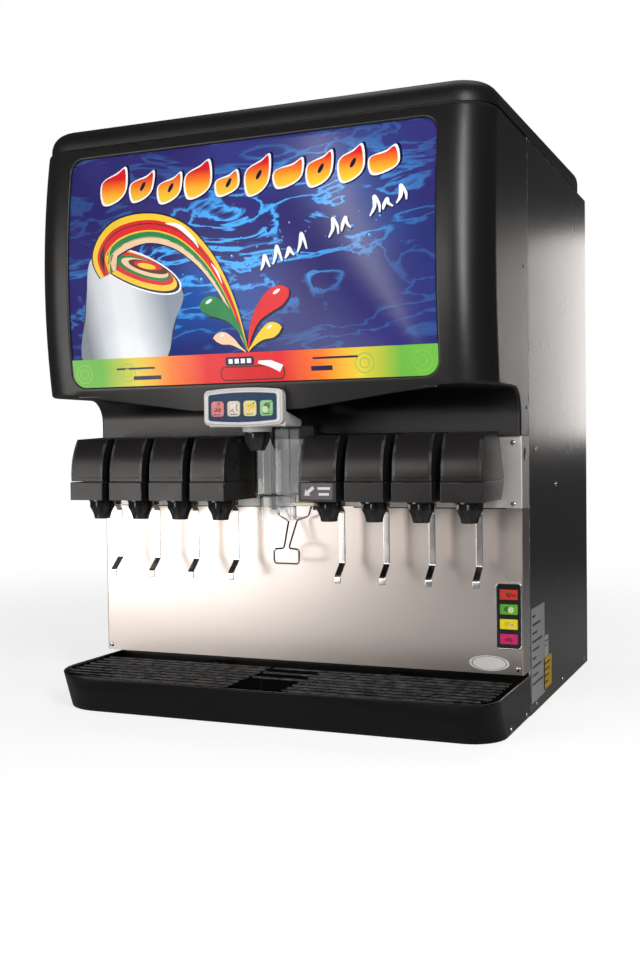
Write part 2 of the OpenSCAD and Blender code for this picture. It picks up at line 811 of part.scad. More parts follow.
// Plan outline of the tray at its rim, front edge bowed
module tray_rim(inset) {
    bow_r = 3660;
    y0 = -tray_reach + inset;
    intersection() {
        translate([-hw + inset, y0]) union() {
            w = cab_w - 2 * inset;
            r = 58 - inset;
            translate([0, r]) square([w, tray_reach - inset - r]);
            translate([r, 0]) square([w - 2 * r, 100]);
            for (x = [r, w - r]) translate([x, r]) circle(r, $fn = 64);
        }
        translate([0, y0 + bow_r]) circle(bow_r, $fn = 720);
    }
}

// Plan outline of the tray at its foot
module tray_base(inset) {
    r = 55 - inset / 2;
    w = cab_w - 2 * inset;
    translate([-w / 2, -tray_foot + inset]) {
        translate([0, r]) square([w, tray_foot - inset - r]);
        translate([r, 0]) square([w - 2 * r, 100]);
        for (x = [r, w - r]) translate([x, r]) circle(r, $fn = 64);
    }
}

module drip_tray() {
    at_cabinet() color(c_black) {
        difference() {
            hull() {
                linear_extrude(1) tray_base(0);
                translate([0, 0, tray_h - 1]) linear_extrude(1) tray_rim(0);
            }
            hull() {
                translate([0, 0, tray_floor]) linear_extrude(0.5)
                    intersection() {
                        tray_base(tray_wall + 2);
                        translate([-hw, -400]) square([cab_w, 400 - tray_wall]);
                    }
                translate([0, 0, tray_h]) linear_extrude(1)
                    intersection() {
                        tray_rim(tray_wall);
                        translate([-hw, -400]) square([cab_w, 400 - tray_wall]);
                    }
            }
            both_sides() for (y = tray_screws) rod_x(hw - 12, hw + eps, y, tray_screw_z, screw_hole_r);
            rod_y(-tray_wall - 1, eps, 0, tray_floor + 11, 8);
        }
        // posts that keep the racks off the splash panel, and ledges the racks rest on
        for (s = [-1, 1]) translate([s * 168, -33, tray_floor - 1]) cylinder(r = 11.5, h = tray_h - tray_floor - 1);
        for (p = [[62, -196], [330, -196], [62, -72], [352, -72]]) both_sides()
            translate([p[0], p[1], tray_floor - 1]) cylinder(r = 5, h = rack_z - tray_floor - 4.2);
    }
}

module drain_fitting() {
    at_cabinet() color("#6d6f72") difference() {
        union() {
            rod_y(-tray_wall - 2, 30, 0, tray_floor + 11, 7.9);
            rod_y(0.2, 3, 0, tray_floor + 11, 13);
            rod_y(3, 27, 0, tray_floor + 11, 9.5);
        }
        rod_y(-tray_wall - 3, 31, 0, tray_floor + 11, 6.5);
    }
}

function bar_y(i) = rack_y0 - i * bar_pitch;

module rack_bars(x0, x1) {
    for (i = [0:bars - 1]) {
        // the front bars stop short of the tray's round corners
        short = i > 6 ? 12 * (i - 6) * (i - 6) : 0;
        rod_x(x0, x1 - short, bar_y(i), rack_z, bar_r, $fn = 24);
    }
    for (x = [x0 + 6, (x0 + x1) / 2, x1 - 58])
        rod_y(bar_y(bars - 1) - 3, bar_y(0) + 3, x, rack_z - 2.6, 1.6, $fn = 24);
    rod_y(bar_y(6) - 3, bar_y(0) + 3, x1 - 6, rack_z - 2.6, 1.6, $fn = 24);
}

module rack_right() {
    at_cabinet() color("#2c2b2d") {
        rack_bars(rack_x[0], rack_x[1]);
        // every other rear bar runs on across the middle opening
        for (i = [0, 2, 4]) rod_x(-rack_x[0] + 6, rack_x[0] + 1, bar_y(i), rack_z, bar_r, $fn = 24);
    }
}

module rack_left() {
    at_cabinet() color("#2c2b2d") mirror([1, 0, 0]) rack_bars(rack_x[0], rack_x[1]);
}

// ---------- fasteners and services ----------

module screw(l) {
    rotate_extrude() polygon([[0, -l], [screw_r, -l], [screw_r, 0], [4.3, 0], [4.1, 1], [2.6, 1.7], [0, 1.9]]);
}

module panel_screws() {
    at_cabinet() color("#c4c0bc") both_sides() {
        translate([splash_screw[0], plate_y, splash_screw[1]]) rotate([90, 0, 0]) screw(10);
        for (p = plate_screws) translate([p[0], plate_y, p[1]]) rotate([90, 0, 0]) screw(10);
        for (y = base_screw_y) translate([hw, y, base_screw_z]) rotate([0, 90, 0]) screw(8);
        for (p = side_rivets) translate([hw, p[0], p[1]]) rotate([0, 90, 0]) screw(4);
        for (y = tray_screws) translate([hw, y, tray_screw_z]) rotate([0, 90, 0]) screw(3.5);
    }
}

barb_r = 4.75;
module inlet_fittings() {
    at_cabinet() color("#c0a060") {
        difference() {
            block([-215, 410, 40], [135, 436, 46]);
            for (i = [0:valve_count]) translate([-180 + 35 * i, 423, 39]) cylinder(r = 3, h = 8);
        }
        for (i = [0:valve_count]) translate([-180 + 35 * i, 423, 8]) difference() {
            cylinder(r = barb_r, h = 33);
            translate([0, 0, -1]) cylinder(r = 3, h = 36);
        }
        for (x = [-215, 125]) block([x, 418, 2], [x + 10, 428, 41]);
    }
}

module control_box() {
    at_cabinet() color("#8b8f93") {
        block([190, 330, 2], [330, 500, 210]);
        for (i = [0:5]) block([186, 345 + 25 * i, 60], [191, 357 + 25 * i, 180]);
    }
}

module cord_gland() {
    at_cabinet() color("#1d1d1f") difference() {
        union() {
            rod_y(cab_d - 2 * sheet - 4, cab_d - sheet - 0.1, 250, 70, 10.9);
            rod_y(cab_d - 2 * sheet - 7, cab_d - 2 * sheet - 0.1, 250, 70, 15);
        }
        rod_y(cab_d - 14, cab_d + 1, 250, 70, 5);
    }
}

// ---------- what is shown ----------

side_panel_left();
side_panel_right();
rear_panel();
base_frame();
splash_panel();
valve_plate();
hood();
graphic_panel();
light_reflector();
lamp_tubes();
hopper_lid();
ice_bin();
bin_insulation();
cold_plate();
agitator();
agitator_bushings();
gearmotor();
ice_duct();
ice_chute();
ice_gate();
ice_lever();
valve_bodies();
valve_nozzles();
water_lever();
flavor_housing();
flavor_panel();
flavor_nozzle();
select_panel();
drip_tray();
drain_fitting();
rack_left();
rack_right();
panel_screws();
inlet_fittings();
control_box();
cord_gland();
for (i = [0:valve_count - 1]) {
    valve_cover(valve_x[i]);
    valve_lever(valve_x[i]);
}
for (i = [0:3]) {
    flavor_button(i);
    select_button(i);
}
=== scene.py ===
import math

import bmesh
import bpy
from mathutils import Matrix, Vector


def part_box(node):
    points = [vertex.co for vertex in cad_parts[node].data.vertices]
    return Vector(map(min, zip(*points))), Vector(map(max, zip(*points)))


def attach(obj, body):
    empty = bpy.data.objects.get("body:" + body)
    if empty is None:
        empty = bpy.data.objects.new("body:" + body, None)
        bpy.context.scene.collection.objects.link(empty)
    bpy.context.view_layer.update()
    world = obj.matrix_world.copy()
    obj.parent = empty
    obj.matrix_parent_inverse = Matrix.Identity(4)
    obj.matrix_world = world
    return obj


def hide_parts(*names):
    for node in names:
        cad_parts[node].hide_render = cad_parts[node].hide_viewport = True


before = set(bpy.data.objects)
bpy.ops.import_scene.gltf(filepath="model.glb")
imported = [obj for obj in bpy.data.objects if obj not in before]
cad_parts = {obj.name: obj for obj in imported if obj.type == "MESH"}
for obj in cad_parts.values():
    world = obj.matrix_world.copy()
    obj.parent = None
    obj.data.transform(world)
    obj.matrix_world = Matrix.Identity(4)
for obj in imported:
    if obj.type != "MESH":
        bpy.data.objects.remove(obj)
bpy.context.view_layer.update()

# ---------- side panels ----------
# Painted sheet steel, one at each end of the cabinet. The edges are folded in, which leaves a rounded fold
# down the front, with a painted highlight along it.
MM = 0.001
side_low, side_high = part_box("side_panel_right")
half_w, cab_h = side_high.x / MM, side_high.z / MM
cab_d = (side_high.y - side_low.y) / MM
flange = (side_high.x - side_low.x) / MM
scene = bpy.context.scene


def at(x, y, z):
    """A place in millimetres from the cabinet's middle, its panels' front edge and its underside."""
    return Vector((x * MM, side_low.y + y * MM, z * MM))


def add_mesh(name, points, faces, material):
    """A new object from points in millimetres, with doubles merged and faces pointing outwards."""
    mesh = bpy.data.meshes.new(name)
    mesh.from_pydata([at(*p) for p in points], [], faces)
    bm = bmesh.new()
    bm.from_mesh(mesh)
    bmesh.ops.remove_doubles(bm, verts=bm.verts, dist=0.02 * MM)
    bmesh.ops.recalc_face_normals(bm, faces=bm.faces)
    bm.to_mesh(mesh)
    bm.free()
    obj = bpy.data.objects.new(name, mesh)
    scene.collection.objects.link(obj)
    mesh.materials.append(material)
    return obj


def apply_modifiers(obj):
    deps = bpy.context.evaluated_depsgraph_get()
    mesh = bpy.data.meshes.new_from_object(obj.evaluated_get(deps))
    obj.modifiers.clear()
    obj.data = mesh
    return mesh


def settle(obj, sharp=40, rounded=3.0):
    """Leaves one plain mesh, shaded by angle, with the narrow faces of its rounded edges marked for edge wear
    and painted edge highlights.
    """
    mesh = apply_modifiers(obj)
    bm = bmesh.new()
    bm.from_mesh(mesh)
    mark = bm.verts.layers.float.get("edge") or bm.verts.layers.float.new("edge")
    narrow = {}
    for face in bm.faces:
        face.smooth = True
        slim = 2 * face.calc_area() < rounded * MM * face.calc_perimeter()
        narrow[face] = slim and max(e.calc_face_angle(0) for e in face.edges) > math.radians(9)
    for vert in bm.verts:
        vert[mark] = 1.0 if vert.link_faces and all(narrow[f] for f in vert.link_faces) else 0.0
    bm.to_mesh(mesh)
    bm.free()
    mesh.set_sharp_from_angle(angle=math.radians(sharp))
    weighted = obj.modifiers.new("weighted", "WEIGHTED_NORMAL")
    weighted.keep_sharp = True
    apply_modifiers(obj)
    return obj


def shape_edges(obj, radius=0.0, segments=3, wall=0.0, sharp=40):
    """Rounds the edges by a radius and gives a sheet its wall, both in millimetres."""
    if radius:
        bevel = obj.modifiers.new("round", "BEVEL")
        bevel.width, bevel.segments = radius * MM, segments
        bevel.limit_method, bevel.angle_limit = "ANGLE", math.radians(sharp)
    if wall:
        thick = obj.modifiers.new("wall", "SOLIDIFY")
        thick.thickness, thick.offset = wall * MM, -1.0
    return settle(obj, sharp)


def place(obj, body, slot, *nodes):
    """Hangs a finished piece on its CAD body and hides the CAD nodes it stands for. The slot is not used."""
    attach(obj, body)
    if nodes:
        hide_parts(*nodes)
    return obj


def shader_group(name, inputs, outputs):
    """An empty shader node group with float or vector inputs and outputs."""
    group = bpy.data.node_groups.new(name, "ShaderNodeTree")
    for label, kind, value in inputs:
        socket = group.interface.new_socket(label, in_out="INPUT", socket_type=kind)
        socket.default_value = value
    for label in outputs:
        group.interface.new_socket(label, in_out="OUTPUT", socket_type="NodeSocketFloat")
    return group, group.nodes.new("NodeGroupInput"), group.nodes.new("NodeGroupOutput")


def ramp(nodes, low, high):
    """A smooth step between two values."""
    node = nodes.new("ShaderNodeMapRange")
    node.interpolation_type = "SMOOTHSTEP"
    node.inputs["From Min"].default_value = low
    node.inputs["From Max"].default_value = high
    return node


# Fine grain for the surface relief and slow clouds for colour, both on the piece's own coordinates.
# Stretch draws the grain out along one axis, as brushing and rolling do.
grain_group, g_in, g_out = shader_group(
    "surface_grain",
    [("Grain", "NodeSocketFloat", 800.0), ("Cloud", "NodeSocketFloat", 8.0),
     ("Stretch", "NodeSocketVector", (1.0, 1.0, 1.0))],
    ["Height", "Clouds"])
g_nodes, g_links = grain_group.nodes, grain_group.links
g_coord = g_nodes.new("ShaderNodeTexCoord")
g_map = g_nodes.new("ShaderNodeMapping")
g_fine = g_nodes.new("ShaderNodeTexNoise")
g_fine.inputs["Detail"].default_value = 3.0
g_slow = g_nodes.new("ShaderNodeTexNoise")
g_slow.inputs["Detail"].default_value = 4.0
g_step = ramp(g_nodes, 0.34, 0.66)
g_links.new(g_coord.outputs["Object"], g_map.inputs["Vector"])
g_links.new(g_in.outputs["Stretch"], g_map.inputs["Scale"])
g_links.new(g_map.outputs["Vector"], g_fine.inputs["Vector"])
g_links.new(g_in.outputs["Grain"], g_fine.inputs["Scale"])
g_links.new(g_coord.outputs["Object"], g_slow.inputs["Vector"])
g_links.new(g_in.outputs["Cloud"], g_slow.inputs["Scale"])
g_links.new(g_slow.outputs["Fac"], g_step.inputs["Value"])
g_links.new(g_fine.outputs["Fac"], g_out.inputs["Height"])
g_links.new(g_step.outputs["Result"], g_out.inputs["Clouds"])

# Where hands and cloths rub, and where a painted highlight runs along a fold: the marked rounded edges,
# broken up in patches.
wear_and_sheen_group, w_in, w_out = shader_group(
    "edge_wear_and_sheen", [("Patch", "NodeSocketFloat", 60.0), ("Amount", "NodeSocketFloat", 0.5)], ["Mask"])
w_nodes, w_links = wear_and_sheen_group.nodes, wear_and_sheen_group.links
w_coord = w_nodes.new("ShaderNodeTexCoord")
w_mark = w_nodes.new("ShaderNodeAttribute")
w_mark.attribute_name = "edge"
w_noise = w_nodes.new("ShaderNodeTexNoise")
w_step = ramp(w_nodes, 0.3, 0.75)
w_patch = w_nodes.new("ShaderNodeMath")
w_patch.operation = "MULTIPLY"
w_amount = w_nodes.new("ShaderNodeMath")
w_amount.operation = "MULTIPLY"
w_links.new(w_coord.outputs["Object"], w_noise.inputs["Vector"])
w_links.new(w_in.outputs["Patch"], w_noise.inputs["Scale"])
w_links.new(w_noise.outputs["Fac"], w_step.inputs["Value"])
w_links.new(w_step.outputs["Result"], w_patch.inputs[0])
w_links.new(w_mark.outputs["Fac"], w_patch.inputs[1])
w_links.new(w_patch.outputs["Value"], w_amount.inputs[0])
w_links.new(w_in.outputs["Amount"], w_amount.inputs[1])
w_links.new(w_amount.outputs["Value"], w_out.inputs["Mask"])


def finish(name, colour, shade, rough, spread=0.06, grain=900.0, relief=0.12, cloud=7.0,
           stretch=(1, 1, 1), wear_and_sheen=0.0, wear_and_sheen_colour=(0.2, 0.19, 0.18), **plain):
    """A surface that drifts between two shades, with grain in relief and tinted edges: real wear on most
    finishes, a painted highlight on the side panels' folds. Every other setting is a plain value on the
    shader's own socket."""
    material = bpy.data.materials.new(name)
    material.use_nodes = True
    nodes, links = material.node_tree.nodes, material.node_tree.links
    shader = nodes["Principled BSDF"]
    texture = nodes.new("ShaderNodeGroup")
    texture.node_tree = grain_group
    texture.inputs["Grain"].default_value = grain
    texture.inputs["Cloud"].default_value = cloud
    texture.inputs["Stretch"].default_value = stretch
    edges = nodes.new("ShaderNodeGroup")
    edges.node_tree = wear_and_sheen_group
    edges.inputs["Amount"].default_value = wear_and_sheen
    tone = nodes.new("ShaderNodeMix")
    tone.data_type = "RGBA"
    tone.inputs[6].default_value = (*shade, 1)
    tone.inputs[7].default_value = (*colour, 1)
    rubbed_and_sheen = nodes.new("ShaderNodeMix")
    rubbed_and_sheen.data_type = "RGBA"
    rubbed_and_sheen.inputs[7].default_value = (*wear_and_sheen_colour, 1)
    gloss = nodes.new("ShaderNodeMapRange")
    gloss.inputs["To Min"].default_value = rough + spread
    gloss.inputs["To Max"].default_value = rough - spread
    bump = nodes.new("ShaderNodeBump")
    bump.inputs["Strength"].default_value = relief
    bump.inputs["Distance"].default_value = 0.4 * MM
    links.new(texture.outputs["Clouds"], tone.inputs[0])
    links.new(tone.outputs[2], rubbed_and_sheen.inputs[6])
    links.new(edges.outputs["Mask"], rubbed_and_sheen.inputs[0])
    links.new(rubbed_and_sheen.outputs[2], shader.inputs["Base Color"])
    links.new(texture.outputs["Clouds"], gloss.inputs["Value"])
    links.new(gloss.outputs["Result"], shader.inputs["Roughness"])
    links.new(texture.outputs["Height"], bump.inputs["Height"])
    links.new(bump.outputs["Normal"], shader.inputs["Normal"])
    for label, value in plain.items():
        shader.inputs[label.replace("_", " ")].default_value = value
    return material


def open_box(name, low, high, sides, material, radius, wall):
    """A box of folded sheet with only the named sides, such as "left" or "top"."""
    (x0, y0, z0), (x1, y1, z1) = low, high
    points = [(x, y, z) for x in (x0, x1) for y in (y0, y1) for z in (z0, z1)]
    loops = {"left": (0, 1, 3, 2), "right": (4, 6, 7, 5), "front": (0, 4, 5, 1), "rear": (2, 3, 7, 6),
             "bottom": (0, 2, 6, 4), "top": (1, 5, 7, 3)}
    obj = add_mesh(name, points, [loops[s] for s in sides], material)
    return shape_edges(obj, radius, 4, wall)


# The pale edge colour on these folds is a painted highlight, the bright line down the front fold; the black
# coat itself is plain.
panel_paint = finish("panel_paint", (0.016, 0.0135, 0.0125), (0.014, 0.0118, 0.011), 0.27, 0.006, grain=1500,
                     relief=0.015, cloud=3.0, wear_and_sheen=1.6, wear_and_sheen_colour=(0.62, 0.58, 0.55), Coat_Weight=0.1,
                     Coat_Roughness=0.25, Specular_IOR_Level=0.42)
for side, outer in (("left", -half_w), ("right", half_w)):
    inner = outer - math.copysign(flange, outer)
    panel = open_box("side_skin_" + side, (min(outer, inner), 0, 0), (max(outer, inner), cab_d, cab_h),
                     [side, "front", "rear", "top"], panel_paint, 2.6, 1.5)
    place(panel, "cabinet", "side_steel", "side_panel_" + side)

# ---------- rear panel and frame ----------
# A vented painted sheet closes the back. Inside stands a galvanised pan with uprights and rails, which
# carries the bin and the front plates.


def dress(material, *names):
    """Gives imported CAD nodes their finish."""
    for name in names:
        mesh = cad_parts[name].data
        mesh.materials.clear()
        mesh.materials.append(material)


dress(finish("rear_paint", (0.032, 0.028, 0.026), (0.024, 0.021, 0.020), 0.4, grain=1400, relief=0.08),
      "rear_panel")
dress(finish("galvanised", (0.50, 0.51, 0.52), (0.36, 0.37, 0.38), 0.42, 0.12, grain=260, relief=0.05,
             cloud=60.0, Metallic=1.0), "base_frame")

# ---------- splash panel and valve plate ----------
# Vertical-grain stainless across the whole front, both ends folded back to the side panels. The splash
# panel ends in a rolled hem, and the upper plate has a round access hole in each return.
stainless = finish("brushed_stainless", (0.68, 0.62, 0.585), (0.66, 0.60, 0.565), 0.30, 0.01, grain=420,
                   relief=0.015, cloud=3.0, stretch=(9, 9, 0.12), wear_and_sheen=0.35, wear_and_sheen_colour=(0.8, 0.76, 0.73),
                   Metallic=1.0)
splash_low, splash_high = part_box("splash_panel")
plate_low, plate_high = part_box("valve_plate")
face_y = (splash_low.y - side_low.y) / MM
splash_z = (splash_low.z / MM, splash_high.z / MM)
plate_z = (plate_low.z / MM, plate_high.z / MM)
access_hole = (-27, 420, 11)     # y, z and radius


def round_bar(name, start, end, radius, material, sides=16):
    """A straight round bar between two places in millimetres."""
    a, b = Vector(start), Vector(end)
    turn = (b - a).to_track_quat("Z", "Y")
    rings = [p + turn @ Vector((radius * math.cos(t), radius * math.sin(t), 0))
             for p in (a, b) for t in (math.tau * k / sides for k in range(sides))]
    faces = [(k, (k + 1) % sides, sides + (k + 1) % sides, sides + k) for k in range(sides)]
    faces += [tuple(range(sides)), tuple(range(sides, 2 * sides))]
    return add_mesh(name, rings, faces, material)


def pierce(obj, cutter):
    """Cuts one closed shape out of another and removes the cutter."""
    cut = obj.modifiers.new("cut", "BOOLEAN")
    cut.operation, cut.object, cut.solver = "DIFFERENCE", cutter, "EXACT"
    settle(obj)
    bpy.data.objects.remove(cutter)
    return obj


splash = open_box("splash_sheet", (-half_w, face_y, splash_z[0]), (half_w, -0.2, splash_z[1] - 1.3),
                  ["front", "left", "right"], stainless, 2.6, 1.5)
place(splash, "cabinet", "front_stainless", "splash_panel")
hem_r = 1.9
hem = round_bar("splash_hem", (-half_w + 5, face_y + hem_r, splash_z[0] + hem_r),
                (half_w - 5, face_y + hem_r, splash_z[0] + hem_r), hem_r, stainless)
place(settle(hem), "cabinet", "front_stainless")
frosted = finish("frosted_stainless", (0.86, 0.82, 0.79), (0.78, 0.74, 0.71), 0.50, 0.05, grain=300,
                 relief=0.10, cloud=40.0, stretch=(3, 3, 0.6), wear_and_sheen=0.5, wear_and_sheen_colour=(0.85, 0.82, 0.8),
                 Metallic=0.8)
plate = open_box("valve_plate_sheet", (-half_w, face_y, plate_z[0]), (half_w, -0.2, plate_z[1]),
                 ["front", "left", "right"], frosted, 2.6, 1.5)
pierce(plate, round_bar("drill", (-half_w - 5, *access_hole[:2]), (half_w + 5, *access_hole[:2]),
                        access_hole[2], frosted, 48))
place(plate, "cabinet", "front_stainless", "valve_plate")
seam = round_bar("valve_plate_hem", (-half_w + 4, face_y + 1.3, plate_z[0] + 1.2),
                 (half_w - 4, face_y + 1.3, plate_z[0] + 1.2), 1.2, frosted)
place(settle(seam), "cabinet", "front_stainless")

# ---------- hood ----------
# One large moulding in fine-grained black plastic: a bulged front round the graphic window, round upright
# corners, a thin chin that dips in the middle, and a hollow neck behind it.
hood_low, hood_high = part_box("hood")
reach = -(hood_low.y - side_low.y) / MM
neck_z0, hood_z1 = hood_low.z / MM, hood_high.z / MM
bulge_r, bulge_z = 1100.0, 708.0
corner_r, under_z, chin_low = 60.0, 521.0, 492.0
chin_flat, chin_end, head_gap = 91.0, 309.0, 67.0   # half widths
neck_y, cove_r = -55.0, 38.0
window_w, window_z, window_r = 614.0, (535.0, 901.0), 22.0
rim_r, lip_t, hood_wall = 4.0, 5.0, 4.0


def front_at(z):
    """How far forward the bulged front stands at a height."""
    return bulge_r - reach - math.sqrt(bulge_r ** 2 - (z - bulge_z) ** 2)


def spread(a, b, count):
    return [a + (b - a) * k / count for k in range(count + 1)]


def lip_at(x):
    """Height of the chin's lower edge across the front, with a gap for the flavour head."""
    x = abs(x)
    if x >= chin_end or x < head_gap:
        return under_z
    return chin_low + max(0.0, x - chin_flat) * (under_z - chin_low) / (chin_end - chin_flat)


def window_loop(grow):
    """The window's outline, grown by some millimetres, counter-clockwise from its lower left corner."""
    w, h, r = window_w / 2 + grow, (window_z[1] - window_z[0]) / 2 + grow, window_r + grow
    z_mid = sum(window_z) / 2
    loop = []
    for turn, half, other, steps in ((0, w, h, across_n), (1, h, w, up_n), (2, w, h, across_n),
                                     (3, h, w, up_n)):
        side = [(-half + r - r * math.cos(a), -other + r - r * math.sin(a))
                for a in spread(math.pi / 4, math.pi / 2, corner_n)][:-1]
        side += [(-half + r + (2 * half - 2 * r) * f, -other) for f in steps]
        side += [(half - r + r * math.sin(a), -other + r - r * math.cos(a))
                 for a in spread(0, math.pi / 4, corner_n)][1:-1]
        c, s = (1, 0, -1, 0)[turn], (0, 1, 0, -1)[turn]
        loop += [(x * c - z * s, z_mid + x * s + z * c) for x, z in side]
    return loop


corner_n = 4
flat_half = window_w / 2 - window_r
front_x = [flat_half - 35, flat_half - 70, 190, 150, 120, chin_flat, head_gap + 0.4, head_gap - 0.4, 30]
front_x = [-x for x in [flat_half] + front_x] + [0] + [x for x in reversed([flat_half] + front_x)]
across_n = [(x + flat_half) / (2 * flat_half) for x in front_x]
up_n = spread(0, 1, 12)
side_x = half_w - corner_r
edge_steps = [flat_half, flat_half + 8, flat_half + 16, chin_end, side_x]
cols = [-x for x in reversed(edge_steps)] + front_x[1:-1] + edge_steps
frame_z = (under_z + 7, window_z[1] + 12)
z_flat = (window_z[0] + window_r, window_z[1] - window_r)
rows = spread(frame_z[0], z_flat[0], corner_n)[:-1]
rows += spread(*z_flat, 12)
rows += spread(z_flat[1], frame_z[1], corner_n)[1:]

points, faces, known = [], [], {}


def vert(p):
    """The number of a point, the same for the same place."""
    key = tuple(round(v, 3) for v in p)
    if key not in known:
        known[key] = len(points)
        points.append(key)
    return known[key]


def face(*corners):
    loop = [vert(p) for p in corners]
    loop = [v for k, v in enumerate(loop) if v != loop[k - 1]]
    if len(set(loop)) > 2:
        faces.append(loop)


def skin(x, z, depth=0.0):
    return (x, front_at(z) + depth, z)


# the front round the window: from a rectangle in to the rounded opening, then over its rim
outer = [(x, frame_z[0]) for x in cols[:-1]] + [(side_x, z) for z in rows[:-1]]
outer += [(x, frame_z[1]) for x in reversed(cols[1:])] + [(-side_x, z) for z in reversed(rows[1:])]
loops = [[skin(*p) for p in outer]]
for angle in spread(0, math.pi / 2, 5):
    loops.append([skin(*p, rim_r * (1 - math.cos(angle)))
                  for p in window_loop(rim_r * (1 - math.sin(angle)))])
loops.append([skin(*p, rim_r + 3) for p in window_loop(0)])
for near, far in zip(loops, loops[1:]):
    for k in range(len(near)):
        n = (k + 1) % len(near)
        face(near[k], near[n], far[n], far[k])

# above and below the window's frame, with the chin's edge turned under
for x0, x1 in zip(cols, cols[1:]):
    face(skin(x0, frame_z[1]), skin(x1, frame_z[1]), skin(x1, hood_z1), skin(x0, hood_z1))
    tilt = [0.05 * min(max(abs(x) - chin_flat, 0.0), 40.0) * (abs(x) < chin_end) for x in (x0, x1)]
    low, high = [(x, lip_at(x)) for x in (x0, x1)], [(x, frame_z[0]) for x in (x0, x1)]
    a, b = skin(*low[0], tilt[0]), skin(*low[1], tilt[1])
    face(a, b, skin(*high[1]), skin(*high[0]))
    inner = [skin(x, z, lip_t + t) for (x, z), t in zip(low, tilt)]
    roof = [(x, front_at(under_z) + lip_t, under_z) for x in (x0, x1)]
    if max(abs(x0), abs(x1)) <= chin_end:
        face(a, inner[0], inner[1], b)
        face(inner[0], roof[0], roof[1], inner[1])

# round corners, flat ends, top and underside
turns = spread(0, math.pi / 2, 10)
all_z = [under_z] + rows + [hood_z1]


def corner(sign, turn, z):
    return (sign * (side_x + corner_r * math.sin(turn)), front_at(z) + corner_r * (1 - math.cos(turn)), z)


cove = [(neck_y - cove_r + cove_r * math.cos(a), under_z - cove_r + cove_r * math.sin(a))
        for a in spread(0, math.pi / 2, 8)]
belly = [(neck_y, neck_z0)] + cove                       # the neck and its hollow, from below
for sign in (-1, 1):
    for z0, z1 in zip(all_z, all_z[1:]):
        for t0, t1 in zip(turns, turns[1:]):
            face(corner(sign, t0, z0), corner(sign, t1, z0), corner(sign, t1, z1), corner(sign, t0, z1))
    wall_edge = [corner(sign, turns[-1], z) for z in all_z]
    face(*wall_edge, (sign * half_w, 0, hood_z1), (sign * half_w, 0, neck_z0),
         *[(sign * half_w, y, z) for y, z in belly])
for (y0, z0), (y1, z1) in zip(belly, belly[1:]):
    face((-half_w, y0, z0), (half_w, y0, z0), (half_w, y1, z1), (-half_w, y1, z1))
for z, backs in ((hood_z1, 0), (under_z, belly[-1][0])):
    rim = [corner(-1, t, z) for t in reversed(turns)]
    if z == under_z:
        rim += [(x, front_at(z) + (lip_t if abs(x) < side_x else 0), z) for x in cols]
    else:
        rim += [skin(x, z) for x in cols]
    face(*rim, *[corner(1, t, z) for t in turns], (half_w, backs, z), (-half_w, backs, z))
for x in (-side_x, side_x):
    near = math.copysign(chin_end, x)
    face(skin(x, under_z), skin(near, under_z), (near, front_at(under_z) + lip_t, under_z))

hood_black = finish("grained_black", (0.011, 0.0102, 0.010), (0.009, 0.0084, 0.0082), 0.34, 0.03, grain=1100,
                    relief=0.22, cloud=3.5, wear_and_sheen=0.25, wear_and_sheen_colour=(0.05, 0.047, 0.045))
hood = add_mesh("hood_shell", points, faces, hood_black)
bevel = hood.modifiers.new("round", "BEVEL")
bevel.width, bevel.segments, bevel.use_clamp_overlap = 5.0 * MM, 4, False
bevel.limit_method = "WEIGHT"
hood.data.attributes.new("bevel_weight_edge", "FLOAT", "EDGE")
bm = bmesh.new()
bm.from_mesh(hood.data)
layer = bm.edges.layers.float["bevel_weight_edge"]
for edge in bm.edges:
    if len(edge.link_faces) == 2 and edge.calc_face_angle(0) > math.radians(50):
        ends = [v.co for v in edge.verts]
        at_lip = all(abs(c.x) < (side_x + 1) * MM and c.z < (under_z + 1) * MM and c.y < at(0, -150, 0).y
                     for c in ends)
        at_rim = all(c.z > (frame_z[0] + 1) * MM and c.z < (frame_z[1] - 1) * MM for c in ends)
        edge[layer] = 0.28 if at_lip else (0.0 if at_rim and abs(ends[0].x) < (half_w - 2) * MM else 1.0)
bm.to_mesh(hood.data)
bm.free()
thick = hood.modifiers.new("wall", "SOLIDIFY")
thick.thickness, thick.offset = hood_wall * MM, -1.0
settle(hood, 42)
place(hood, "cabinet", "hood_plastic", "hood")

# Two push-in plugs close the moulding holes near the hood's rear edge, on its right end.
for number, (y, z) in enumerate([(-30, 713), (-13, 493)]):
    plug = round_bar(f"hood_plug_{number}", (half_w - 1, y, z), (half_w + 0.8, y, z), 2.6, hood_black, 20)
    place(shape_edges(plug, 0.5, 2), "cabinet", "hood_plastic")

# ---------- lid ----------
# A loose lid of the same grained plastic over the ice bin. It is moulded as a thin shell with large soft
# edges that slopes down to the front, and a skirt under it drops into the bin's mouth.
lid_low, lid_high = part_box("hopper_lid")
lid_y = ((lid_low.y - side_low.y) / MM, (lid_high.y - side_low.y) / MM)
lid_z, lid_edge, lid_fall = (cab_h + 1, lid_high.z / MM), 30.0, 8.0


def round_plan(x_half, y0, y1, front_r, rear_r, steps=8):
    """A rectangle's outline seen from above, with its own corner radius at the front and at the rear."""
    loop = []
    for sx, y, sy, r in ((-1, y0, -1, front_r), (1, y0, -1, front_r), (1, y1, 1, rear_r),
                         (-1, y1, 1, rear_r)):
        arc = [(sx * (x_half - r + r * math.sin(t)), y - sy * (r - r * math.cos(t)))
               for t in spread(0, math.pi / 2, steps)]
        loop += arc if sx * sy > 0 and sy > 0 or sx * sy < 0 and sy < 0 else list(reversed(arc))
    return loop


def ordered(loop):
    """Points of a convex outline in turning order."""
    mx, my = (sum(c) / len(loop) for c in zip(*loop))
    return sorted(set((round(x, 4), round(y, 4)) for x, y in loop),
                  key=lambda p: math.atan2(p[1] - my, p[0] - mx))


